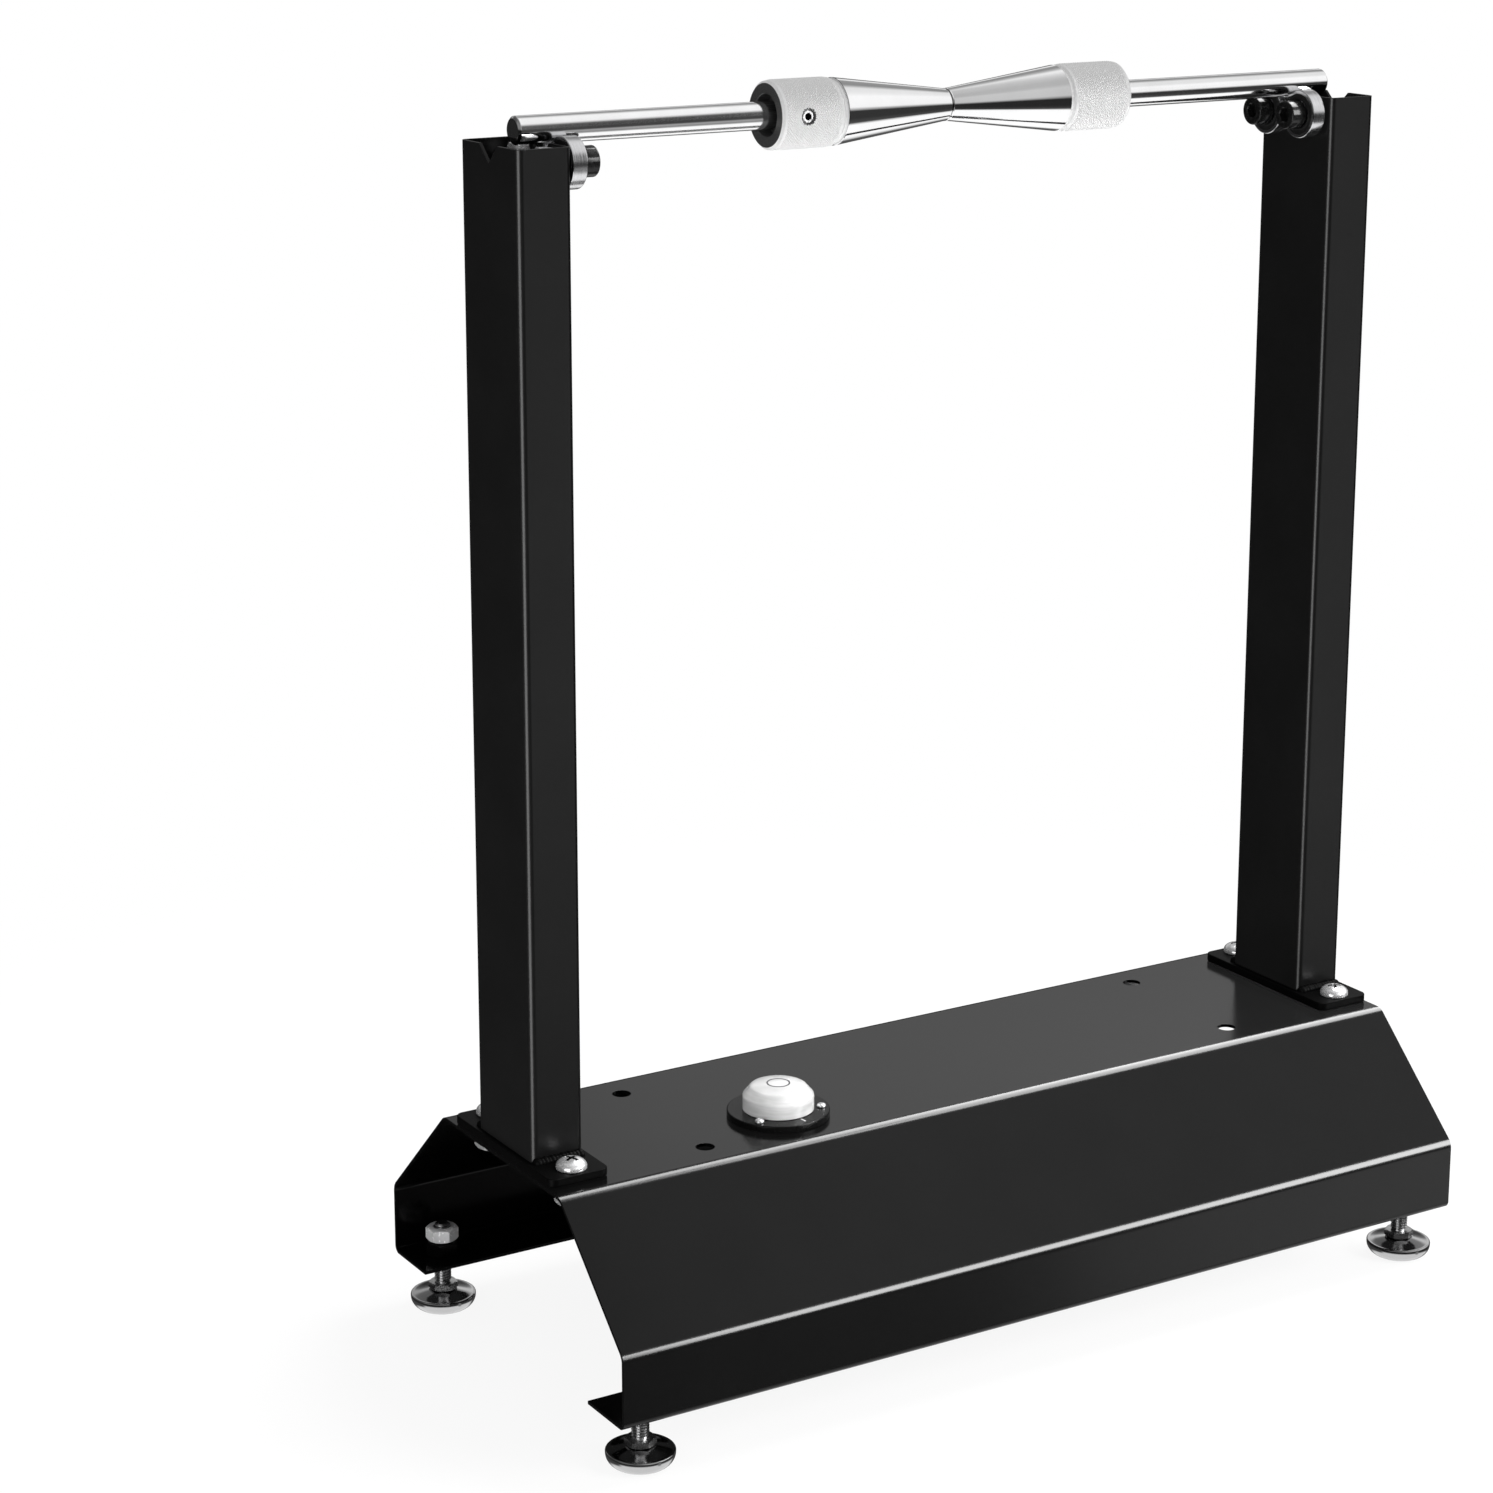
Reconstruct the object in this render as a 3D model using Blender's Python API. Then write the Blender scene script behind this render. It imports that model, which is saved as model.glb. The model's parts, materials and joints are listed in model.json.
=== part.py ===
# Motorcycle wheel balancer: a folded sheet base on four levelling feet carries two
# tube columns. Each column top holds a pair of sealed ball bearings, and a loose axle
# with two sliding centring cones rolls on the four bearings.
#
# Metres, +Z up. X runs along the axle, -Y is the front, where the level lies.
# The origin is on the floor, midway between the columns.

import math

import bmesh
import bpy
from mathutils import Matrix, Vector

# Fits shared by all pieces
GAP = 0.0003  # between pieces that touch
OVERRUN = 0.0010  # how far a cut reaches past the face that it opens
MERGE = 0.000001  # points nearer than this are one

# Base: one sheet folded six times
SHEET = 0.0015
FOLD_RADIUS = 0.0070  # outside of the four folds beside the slants
FLANGE_FOLD_RADIUS = 0.0035  # outside of the two lowest folds
BASE_LENGTH = 0.450
TOP_WIDTH = 0.108
SLANT_OUT = 0.0535
SLANT_DROP = 0.0515
SKIRT_HEIGHT = 0.033
FLANGE_WIDTH = 0.031
FLOOR_GAP = 0.0245  # floor to the underside of the flanges
SPARE_HOLE_X = 0.144  # spare column holes, from the middle
SCREW_ROW_Y = 0.037  # column screws and spare holes, from the middle
SCREW_HOLE = 0.0085

# Threads are drawn at their pitch diameter
M8 = 0.0072
M6 = 0.0054
M3 = 0.0027

# Levelling feet
FOOT_END_INSET = 0.0165
PAD_DIAMETER = 0.030
PAD_BASE_DIAMETER = 0.020
PAD_BOWL_HEIGHT = 0.0056
PAD_RIM_HEIGHT = 0.0012
PAD_CROWN_HEIGHT = 0.0018
PAD_LAND_DIAMETER = 0.014
PAD_SOCKET_DEPTH = 0.0040
FOOT_HEX_FLATS = 0.012
FOOT_HEX_HEIGHT = 0.0032
STUD_PROUD = 0.0017  # stud end above the lock nut
WELD_NUT_FLATS = 0.014
WELD_NUT_HEIGHT = 0.0065
LOCK_NUT_FLATS = 0.013
LOCK_NUT_HEIGHT = 0.0065
NUT_CHAMFER = 0.0006

# Columns: rectangular tube on a welded foot plate
COLUMN_X = 0.025
COLUMN_Y = 0.050
COLUMN_WALL = 0.0015
COLUMN_CORNER = 0.0030
COLUMN_END_INSET = 0.0025
COLUMN_RISE = 0.435  # column top above the base
NOTCH_WIDTH = 0.016
NOTCH_DEPTH = 0.0075
PLATE_MARGIN = 0.0020  # plate past the column along X
PLATE_LENGTH = 0.090
PLATE_THICKNESS = 0.0040
PLATE_CORNER = 0.0040
WELD_LEG = 0.0038
WELD_END_INSET = 0.0020

# Column screws and their flanged nuts
SCREW_HEAD_DIAMETER = 0.0135
SCREW_HEAD_HEIGHT = 0.0046
SCREW_RIM = 0.0008
CROSS_LENGTH = 0.0060
CROSS_WIDTH = 0.0013
CROSS_DEPTH = 0.0022
FLANGE_NUT_FLATS = 0.013
FLANGE_NUT_HEIGHT = 0.0095
FLANGE_NUT_RIM_DIAMETER = 0.0175
FLANGE_NUT_RIM = 0.0016
SCREW_PROUD = 0.0015  # screw end past its nut

# Axle and centring cones
AXLE_RISE = 0.005  # axle centre above the column tops
ROD_DIAMETER = 0.012
ROD_PAST_WALL = 0.0138  # past the wheel side of each column
ROD_CHAMFER = 0.0010
TIP_DIAMETER = 0.0142
TIP_LAND = 0.0008
CONE_DIAMETER = 0.029
CONE_LENGTH = 0.058
NECK_DIAMETER = 0.0275
NECK_WIDTH = 0.0015
COLLAR_DIAMETER = 0.030
COLLAR_LENGTH = 0.0315
COLLAR_CHAMFER = 0.0010
COUNTERBORE_DIAMETER = 0.018
COUNTERBORE_DEPTH = 0.0060
SET_SCREW_LENGTH = 0.0078
SET_SCREW_FROM_END = 0.0125
SET_SOCKET_FLATS = 0.0030
SET_SOCKET_DEPTH = 0.0032
THREAD_CHAMFER = 0.0006

# Bearings, their bolts and nuts
ROLLER_SPACING = 0.0232
BEARING_DIAMETER = 0.022
BEARING_BORE = 0.008
BEARING_WIDTH = 0.007
BEARING_CHAMFER = 0.0004
BALL_DIAMETER = 0.0040
BALL_COUNT = 7
OUTER_SHOULDER_DIAMETER = 0.0190
INNER_SHOULDER_DIAMETER = 0.0121
CAGE_THICKNESS = 0.0009
CAGE_WIDTH = 0.0024
SEAL_THICKNESS = 0.0005
SEAL_INSET = 0.0003
SEAL_LIP_GAP = 0.0004
SPACER_DIAMETER = 0.0115
SPACER_THICKNESS = 0.0015
BOLT_HEAD_DIAMETER = 0.013
BOLT_HEAD_HEIGHT = 0.008
BOLT_SOCKET_FLATS = 0.006
BOLT_SOCKET_DEPTH = 0.004
BOLT_NUT_FLATS = 0.013
BOLT_NUT_HEIGHT = 0.0065
BOLT_PROUD = 0.0020

# Round level
LEVEL_X = -0.0970
LEVEL_Y = -0.0215
LEVEL_DIAMETER = 0.046
LEVEL_THICKNESS = 0.0030
LEVEL_CHAMFER = 0.0005
VIAL_DIAMETER = 0.032
VIAL_WALL = 0.0020
VIAL_SIDE_HEIGHT = 0.0064
VIAL_SHOULDER_HEIGHT = 0.0104
VIAL_SHOULDER_DIAMETER = 0.0250
VIAL_HEIGHT = 0.0118
SPIGOT_HEIGHT = 0.0008
BUBBLE_DIAMETER = 0.0080
BUBBLE_DEPTH = 0.0010
LEVEL_SCREW_CIRCLE = 0.0385
LEVEL_SCREW_HEAD = 0.0042
LEVEL_SCREW_HEAD_HEIGHT = 0.0014
LEVEL_SCREW_PROUD = 0.0025
LEVEL_SCREW_SLOT_WIDTH = 0.0007
LEVEL_SCREW_SLOT_DEPTH = 0.0006
LEVEL_SCREW_COUNT = 3
LEVEL_SCREW_TURN = math.radians(-27)

# Facets
BEND_STEPS = 3
CORNER_STEPS = 3
GROOVE_STEPS = 3
ROUND_SIDES = 20
SMALL_SIDES = 16
HOLE_SIDES = 12
BORE_SIDES = 10
BALL_SEGMENTS = 6
BALL_RINGS = 3

# Finishes: colour, metallic, roughness
POWDER_BLACK = ((0.014, 0.014, 0.015), 0.0, 0.38)
BLACK_OXIDE = ((0.020, 0.020, 0.022), 0.6, 0.45)
CHROME = ((0.780, 0.780, 0.790), 1.0, 0.12)
BRIGHT_STEEL = ((0.620, 0.620, 0.630), 1.0, 0.25)
ZINC = ((0.660, 0.670, 0.690), 1.0, 0.32)
SEAL_RUBBER = ((0.018, 0.018, 0.019), 0.0, 0.55)
CLEAR_ACRYLIC = ((0.900, 0.920, 0.920), 0.0, 0.06)
LEVEL_FLUID = ((0.900, 0.940, 0.880), 0.0, 0.05)

# Places worked out from the sizes
base_top_z = FLOOR_GAP + SKIRT_HEIGHT + SLANT_DROP
flange_top_z = FLOOR_GAP + SHEET
foot_x = BASE_LENGTH / 2 - FOOT_END_INSET
foot_y = TOP_WIDTH / 2 + SLANT_OUT - FLANGE_WIDTH / 2
column_x = BASE_LENGTH / 2 - COLUMN_END_INSET - COLUMN_X / 2
plate_bottom_z = base_top_z + GAP
plate_top_z = plate_bottom_z + PLATE_THICKNESS
column_bottom_z = plate_top_z + GAP
column_top_z = base_top_z + COLUMN_RISE
axle_z = column_top_z + AXLE_RISE
roller_y = ROLLER_SPACING / 2
roller_reach = BEARING_DIAMETER / 2 + ROD_DIAMETER / 2 + GAP
roller_z = axle_z - math.sqrt(roller_reach**2 - roller_y**2)
inner_wall_x = column_x - COLUMN_X / 2  # the face that looks at the wheel
bearing_x = inner_wall_x - GAP - SPACER_THICKNESS - BEARING_WIDTH / 2
rod_length = 2 * (inner_wall_x + ROD_PAST_WALL)
cone_total = CONE_LENGTH + NECK_WIDTH + COLLAR_LENGTH

ALONG_X = Matrix.Rotation(math.radians(90), 4, "Y")
ALONG_MINUS_X = Matrix.Rotation(math.radians(-90), 4, "Y")
ALONG_Y = Matrix.Rotation(math.radians(-90), 4, "X")
ALONG_MINUS_Y = Matrix.Rotation(math.radians(90), 4, "X")
DOWNWARD = Matrix.Rotation(math.radians(180), 4, "X")
SIDES = (("left", -1), ("right", 1))
ROWS = (("front", -1), ("back", 1))


# Shapes

def turned(profile, sides, ring=False):
    """A solid spun round Z from (radius, height) points; a ring profile is a closed loop."""
    mesh = bmesh.new()
    points = [mesh.verts.new((radius, 0.0, height)) for radius, height in profile]
    lines = [mesh.edges.new(pair) for pair in zip(points, points[1:])]
    if ring:
        lines.append(mesh.edges.new((points[-1], points[0])))
    bmesh.ops.spin(
        mesh,
        geom=points + lines,
        cent=(0, 0, 0),
        axis=(0, 0, 1),
        angle=math.tau,
        steps=sides,
        use_merge=True,
    )
    bmesh.ops.remove_doubles(mesh, verts=mesh.verts, dist=MERGE)
    bmesh.ops.recalc_face_normals(mesh, faces=mesh.faces)
    return mesh


def prism(outline, low, high):
    """A flat outline of (x, y) points raised from one height to another."""
    mesh = bmesh.new()
    face = mesh.faces.new([mesh.verts.new((x, y, low)) for x, y in outline])
    raised = bmesh.ops.extrude_face_region(mesh, geom=[face])["geom"]
    top = [item for item in raised if isinstance(item, bmesh.types.BMVert)]
    bmesh.ops.translate(mesh, verts=top, vec=(0, 0, high - low))
    bmesh.ops.recalc_face_normals(mesh, faces=mesh.faces)
    return mesh


def polygon(radius, sides):
    """Corners of a regular polygon, the first on the X axis."""
    turns = [math.tau * step / sides for step in range(sides)]
    return [(radius * math.cos(turn), radius * math.sin(turn)) for turn in turns]


def rectangle(width, depth):
    return [
        (-width / 2, -depth / 2),
        (width / 2, -depth / 2),
        (width / 2, depth / 2),
        (-width / 2, depth / 2),
    ]


def arc(centre, radius, start, end, steps):
    """Points on a circle from one angle to another, both ends included."""
    turns = [start + (end - start) * step / steps for step in range(steps + 1)]
    return [
        (centre[0] + radius * math.cos(turn), centre[1] + radius * math.sin(turn))
        for turn in turns
    ]


def rounded_rectangle(width, depth, radius):
    quarter = math.pi / 2
    points = []
    for turn, (x, y) in enumerate(((1, 1), (-1, 1), (-1, -1), (1, -1))):
        centre = (x * (width / 2 - radius), y * (depth / 2 - radius))
        points += arc(centre, radius, turn * quarter, (turn + 1) * quarter, CORNER_STEPS)
    return points


def rounded_path(corners, radii, steps):
    """An open path through the corners, each inner one an arc of its own radius."""
    points = [Vector(corners[0])]
    for before, corner, after, radius in zip(corners, corners[1:], corners[2:], radii):
        corner = Vector(corner)
        back = (Vector(before) - corner).normalized()
        ahead = (Vector(after) - corner).normalized()
        half = back.angle(ahead) / 2
        centre = corner + (back + ahead).normalized() * radius / math.sin(half)
        start = corner + back * radius / math.tan(half) - centre
        end = corner + ahead * radius / math.tan(half) - centre
        sweep = start.angle_signed(end)
        for step in range(steps + 1):
            turn = Matrix.Rotation(-sweep * step / steps, 2)
            points.append(centre + turn @ start)
    points.append(Vector(corners[-1]))
    return [(point.x, point.y) for point in points]


def hexagon(flats):
    return polygon(flats / math.sqrt(3), 6)


def chamfered(mesh, size, keep=lambda edge: True):
    """The mesh with a flat of this size on each edge that keep picks."""
    edges = [edge for edge in mesh.edges if keep(edge)]
    bmesh.ops.bevel(
        mesh,
        geom=edges,
        offset=size,
        offset_type="OFFSET",
        affect="EDGES",
        segments=1,
        profile=0.5,
        material=-1,
    )
    return mesh


def level_edge(edge):
    """True for an edge that lies flat, at one height."""
    return math.isclose(edge.verts[0].co.z, edge.verts[1].co.z, abs_tol=MERGE)


def placed(mesh, matrix):
    mesh.transform(matrix)
    return mesh


def at(x, y, z):
    return Matrix.Translation((x, y, z))


def gathered(meshes):
    """Several meshes in one."""
    whole = bmesh.new()
    for mesh in meshes:
        scratch = bpy.data.meshes.new("scratch")
        mesh.to_mesh(scratch)
        whole.from_mesh(scratch)
        bpy.data.meshes.remove(scratch)
        mesh.free()
    return whole


def boolean(body, tool, operation):
    """The body after a Boolean with the tool, as a new mesh."""
    pair = []
    for label, mesh in (("body", body), ("tool", tool)):
        data = bpy.data.meshes.new(label)
        mesh.to_mesh(data)
        mesh.free()
        item = bpy.data.objects.new(label, data)
        bpy.context.scene.collection.objects.link(item)
        pair.append(item)
    modifier = pair[0].modifiers.new("join or cut", "BOOLEAN")
    modifier.operation = operation
    modifier.solver = "EXACT"
    modifier.object = pair[1]
    evaluated = pair[0].evaluated_get(bpy.context.evaluated_depsgraph_get())
    result = bmesh.new()
    result.from_mesh(evaluated.to_mesh())
    evaluated.to_mesh_clear()
    for item in pair:
        data = item.data
        bpy.data.objects.remove(item)
        bpy.data.meshes.remove(data)
    bmesh.ops.remove_doubles(result, verts=result.verts, dist=MERGE)
    return result


def cut(body, tools):
    return boolean(body, gathered(tools), "DIFFERENCE")


def joined(body, tools):
    return boolean(body, gathered(tools), "UNION")


# Objects

def own_material(name, finish):
    colour, metallic, roughness = finish
    material = bpy.data.materials.new(name + "_finish")
    material.use_nodes = True
    shader = material.node_tree.nodes["Principled BSDF"]
    shader.inputs["Base Color"].default_value = (*colour, 1.0)
    shader.inputs["Metallic"].default_value = metallic
    shader.inputs["Roughness"].default_value = roughness
    return material


def mesh_data(name, mesh):
    """Blender mesh data, smooth across its round faces."""
    data = bpy.data.meshes.new(name)
    mesh.to_mesh(data)
    mesh.free()
    data.shade_smooth()
    data.set_sharp_from_angle(angle=math.radians(35))
    return data


def add(name, data, finish, matrix, parent=None):
    """A named object that shows the mesh data at a place in the world."""
    if len(data.materials) == 0:
        data.materials.append(None)
    item = bpy.data.objects.new(name, data)
    bpy.context.scene.collection.objects.link(item)
    item.material_slots[0].link = "OBJECT"
    item.material_slots[0].material = own_material(name, finish)
    if parent is not None:
        item.parent = parent
        matrix = parent.matrix_basis.inverted() @ matrix
    item.matrix_basis = matrix
    return item


def pivot(name, x, y, z):
    """An empty on a joint's axis."""
    item = bpy.data.objects.new(name, None)
    bpy.context.scene.collection.objects.link(item)
    item.matrix_basis = at(x, y, z)
    return item


def around(function, *values):
    """Calls the function for the four places: left and right, front and back."""
    for side_name, side in SIDES:
        for row_name, row in ROWS:
            function(f"{side_name}_{row_name}", side, row, *values)


# Base

def base_channel():
    """The folded sheet with its holes and the four weld nuts of the feet."""
    top = TOP_WIDTH / 2
    side = top + SLANT_OUT
    fold_z = FLOOR_GAP + SKIRT_HEIGHT
    corners = [
        (side - FLANGE_WIDTH, FLOOR_GAP),
        (side, FLOOR_GAP),
        (side, fold_z),
        (top, base_top_z),
        (-top, base_top_z),
        (-side, fold_z),
        (-side, FLOOR_GAP),
        (-side + FLANGE_WIDTH, FLOOR_GAP),
    ]
    sheet = bmesh.new()
    radii = [FLANGE_FOLD_RADIUS] + 4 * [FOLD_RADIUS] + [FLANGE_FOLD_RADIUS]
    path = rounded_path(corners, radii, BEND_STEPS)
    points = [sheet.verts.new((-BASE_LENGTH / 2, y, z)) for y, z in path]
    lines = [sheet.edges.new(pair) for pair in zip(points, points[1:])]
    drawn = bmesh.ops.extrude_edge_only(sheet, edges=lines)["geom"]
    far = [item for item in drawn if isinstance(item, bmesh.types.BMVert)]
    bmesh.ops.translate(sheet, verts=far, vec=(BASE_LENGTH, 0, 0))
    highest = max(sheet.faces, key=lambda face: face.calc_center_median().z)
    if highest.normal.z < 0 or highest.calc_center_median().z < 0:
        bmesh.ops.reverse_faces(sheet, faces=sheet.faces)
    sheet = thickened(sheet, SHEET)

    nuts = []
    holes = []
    for _, x in SIDES:
        for _, y in ROWS:
            place = at(x * foot_x, y * foot_y, 0)
            nut_low = flange_top_z - SHEET / 2
            nut = prism(hexagon(WELD_NUT_FLATS), nut_low, flange_top_z + WELD_NUT_HEIGHT)
            nuts.append(placed(nut, place))
            bore = polygon(M8 / 2 + GAP, BORE_SIDES)
            nut_top = flange_top_z + WELD_NUT_HEIGHT
            holes.append(placed(prism(bore, FLOOR_GAP - OVERRUN, nut_top + OVERRUN), place))
            for hole_x in (column_x, SPARE_HOLE_X):
                hole = polygon(SCREW_HOLE / 2, HOLE_SIDES)
                hole = prism(hole, base_top_z - SHEET - OVERRUN, base_top_z + OVERRUN)
                holes.append(placed(hole, at(x * hole_x, y * SCREW_ROW_Y, 0)))
    for x, y in level_screw_places():
        hole = polygon(M3 / 2 + GAP, BORE_SIDES)
        hole = prism(hole, base_top_z - SHEET - OVERRUN, base_top_z + OVERRUN)
        holes.append(placed(hole, at(x, y, 0)))
    sheet = cut(joined(sheet, nuts), holes)
    add("base_channel", mesh_data("base_channel", sheet), POWDER_BLACK, Matrix())


def thickened(surface, wall):
    """An open surface given a wall on its inner side by a Solidify modifier."""
    data = bpy.data.meshes.new("surface")
    surface.to_mesh(data)
    surface.free()
    item = bpy.data.objects.new("surface", data)
    bpy.context.scene.collection.objects.link(item)
    modifier = item.modifiers.new("wall", "SOLIDIFY")
    modifier.thickness = wall
    modifier.offset = -1
    modifier.use_even_offset = True
    evaluated = item.evaluated_get(bpy.context.evaluated_depsgraph_get())
    result = bmesh.new()
    result.from_mesh(evaluated.to_mesh())
    evaluated.to_mesh_clear()
    bpy.data.objects.remove(item)
    bpy.data.meshes.remove(data)
    return result


# Levelling feet

def foot_meshes():
    """The pad, the stud and the lock nut of one foot, standing on z = 0."""
    rim_z = PAD_BOWL_HEIGHT + PAD_RIM_HEIGHT
    top_z = rim_z + PAD_CROWN_HEIGHT
    base = PAD_BASE_DIAMETER / 2
    rim = PAD_DIAMETER / 2
    socket = M8 / 2 + GAP
    bowl_shares = ((0.45, 0.24), (0.78, 0.58))  # (outwards, upwards) between base and rim
    bowl = [
        (base + (rim - base) * out, PAD_BOWL_HEIGHT * up) for out, up in bowl_shares
    ]
    pad = turned(
        [
            (0, 0),
            (base, 0),
            *bowl,
            (rim, PAD_BOWL_HEIGHT),
            (rim, rim_z),
            (PAD_LAND_DIAMETER / 2, top_z),
            (socket, top_z),
            (socket, top_z - PAD_SOCKET_DEPTH),
            (0, top_z - PAD_SOCKET_DEPTH),
        ],
        SMALL_SIDES,
    )
    hex_z = top_z + GAP
    nut_z = flange_top_z + WELD_NUT_HEIGHT + GAP
    stud_top = nut_z + LOCK_NUT_HEIGHT + STUD_PROUD
    shank = prism(polygon(M8 / 2, BORE_SIDES), hex_z - PAD_SOCKET_DEPTH + GAP, stud_top)
    hexagonal = prism(hexagon(FOOT_HEX_FLATS), hex_z, hex_z + FOOT_HEX_HEIGHT)
    stud = joined(shank, [chamfered(hexagonal, NUT_CHAMFER, level_edge)])
    lock = hex_nut(LOCK_NUT_FLATS, LOCK_NUT_HEIGHT, M8)
    return (
        mesh_data("foot_pad", pad),
        mesh_data("foot_stud", stud),
        mesh_data("foot_lock_nut", placed(lock, at(0, 0, nut_z))),
    )


def hex_nut(flats, height, thread):
    """A nut standing on z = 0 with its corners eased at both faces."""
    nut = chamfered(prism(hexagon(flats), 0, height), NUT_CHAMFER, level_edge)
    bore = polygon(thread / 2 + GAP, BORE_SIDES)
    return cut(nut, [prism(bore, -OVERRUN, height + OVERRUN)])


def foot(place, side, row, meshes):
    """One foot: the pad slides with the stud, and the stud turns in the weld nut."""
    axis = pivot(f"foot_axis_{place}", side * foot_x, row * foot_y, 0)
    pad, stud, nut = meshes
    matrix = at(side * foot_x, row * foot_y, 0)
    add(f"foot_pad_{place}", pad, CHROME, matrix, axis)
    add(f"foot_stud_{place}", stud, ZINC, matrix, axis)
    add(f"foot_lock_nut_{place}", nut, ZINC, matrix)


# Columns

def column_mesh():
    """The left column about its own middle line, its wheel side facing +X."""
    outline = rounded_rectangle(COLUMN_X, COLUMN_Y, COLUMN_CORNER)
    tube = bmesh.new()
    points = [tube.verts.new((x, y, column_bottom_z)) for x, y in outline]
    lines = [tube.edges.new(pair) for pair in zip(points, points[1:] + points[:1])]
    drawn = bmesh.ops.extrude_edge_only(tube, edges=lines)["geom"]
    top = [item for item in drawn if isinstance(item, bmesh.types.BMVert)]
    bmesh.ops.translate(tube, verts=top, vec=(0, 0, column_top_z - column_bottom_z))
    bmesh.ops.recalc_face_normals(tube, faces=tube.faces)
    tube = thickened(tube, COLUMN_WALL)

    rise = OVERRUN
    spread = NOTCH_WIDTH / 2 * (1 + rise / NOTCH_DEPTH)
    notch = [(0, -NOTCH_DEPTH), (spread, rise), (-spread, rise)]
    long = COLUMN_X / 2 + OVERRUN
    notch = prism(notch, -long, long)
    upright = Matrix(((0, 0, 1, 0), (1, 0, 0, 0), (0, 1, 0, 0), (0, 0, 0, 1)))
    tools = [placed(notch, at(0, 0, column_top_z) @ upright)]
    for _, row in ROWS:
        hole = polygon(SCREW_HOLE / 2, HOLE_SIDES)
        hole = prism(hole, COLUMN_X / 2 - COLUMN_WALL - OVERRUN, COLUMN_X / 2 + OVERRUN)
        tools.append(placed(hole, at(0, row * roller_y, roller_z) @ ALONG_X))
    return cut(tube, tools)


def foot_plate_mesh():
    """The plate under a column, with its two holes and the two weld beads."""
    outline = rounded_rectangle(COLUMN_X + 2 * PLATE_MARGIN, PLATE_LENGTH, PLATE_CORNER)
    plate = prism(outline, plate_bottom_z, plate_top_z)
    beads = []
    holes = []
    for _, row in ROWS:
        face = COLUMN_Y / 2 + GAP
        root = -PLATE_THICKNESS / 2
        crown_shares = ((1, 0), (0.86, 0.36), (0.62, 0.66), (0.32, 0.88), (0, 1))
        section = [(0, root), (WELD_LEG, root)]
        section += [(WELD_LEG * out, WELD_LEG * up) for out, up in crown_shares]
        half = COLUMN_X / 2 - WELD_END_INSET
        bead = prism(section, -half, half)
        upright = Matrix(((0, 0, 1, 0), (row, 0, 0, 0), (0, 1, 0, 0), (0, 0, 0, 1)))
        bead = placed(bead, at(0, row * face, plate_top_z) @ upright)
        bmesh.ops.recalc_face_normals(bead, faces=bead.faces)
        beads.append(bead)
        hole = polygon(SCREW_HOLE / 2, HOLE_SIDES)
        hole = prism(hole, plate_bottom_z - OVERRUN, plate_top_z + OVERRUN)
        holes.append(placed(hole, at(0, row * SCREW_ROW_Y, 0)))
    return cut(joined(plate, beads), holes)


def column(side_name, side):
    flip = Matrix.Rotation(0.0 if side < 0 else math.pi, 4, "Z")
    matrix = at(side * column_x, 0, 0) @ flip
    name = f"column_{side_name}"
    add(name, mesh_data(name, column_mesh()), POWDER_BLACK, matrix)
    name = f"foot_plate_{side_name}"
    add(name, mesh_data(name, foot_plate_mesh()), POWDER_BLACK, matrix)


def column_screw_meshes():
    """The cross-recess screw, its head on z = 0, and the flanged nut under the sheet."""
    head = SCREW_HEAD_DIAMETER / 2
    stack = PLATE_THICKNESS + GAP + SHEET
    length = 2 * GAP + stack + FLANGE_NUT_HEIGHT + SCREW_PROUD
    dome_shares = ((0.86, 0.50), (0.52, 0.88))  # (radius, height over the rim)
    dome = SCREW_HEAD_HEIGHT - SCREW_RIM
    profile = [(0, SCREW_HEAD_HEIGHT)]
    profile += [
        (head * wide, SCREW_RIM + dome * up) for wide, up in reversed(dome_shares)
    ]
    profile += [
        (head, SCREW_RIM),
        (head, 0),
        (M8 / 2, 0),
        (M8 / 2, -length + THREAD_CHAMFER),
        (M8 / 2 - THREAD_CHAMFER, -length),
        (0, -length),
    ]
    low = SCREW_HEAD_HEIGHT - CROSS_DEPTH
    high = SCREW_HEAD_HEIGHT + OVERRUN
    bar = prism(rectangle(CROSS_LENGTH, CROSS_WIDTH), low, high)
    other = prism(rectangle(CROSS_WIDTH, CROSS_LENGTH), low, high)
    screw = cut(turned(profile, HOLE_SIDES), [joined(bar, [other])])

    rim = turned(
        [
            (0, 0),
            (FLANGE_NUT_RIM_DIAMETER / 2, 0),
            (FLANGE_NUT_RIM_DIAMETER / 2, -FLANGE_NUT_RIM / 2),
            (FLANGE_NUT_FLATS / 2, -FLANGE_NUT_RIM),
            (0, -FLANGE_NUT_RIM),
        ],
        HOLE_SIDES,
    )
    body = prism(hexagon(FLANGE_NUT_FLATS), -FLANGE_NUT_HEIGHT, -FLANGE_NUT_RIM / 2)
    nut = joined(rim, [chamfered(body, NUT_CHAMFER, level_edge)])
    bore = polygon(M8 / 2 + GAP, BORE_SIDES)
    nut = cut(nut, [prism(bore, -FLANGE_NUT_HEIGHT - OVERRUN, OVERRUN)])
    return mesh_data("column_screw", screw), mesh_data("column_nut", nut)


def column_screw(place, side, row, meshes):
    screw, nut = meshes
    x = side * column_x
    y = row * SCREW_ROW_Y
    add(f"column_screw_{place}", screw, ZINC, at(x, y, plate_top_z + GAP))
    add(f"column_nut_{place}", nut, ZINC, at(x, y, base_top_z - SHEET - GAP))


# Bearings

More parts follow.
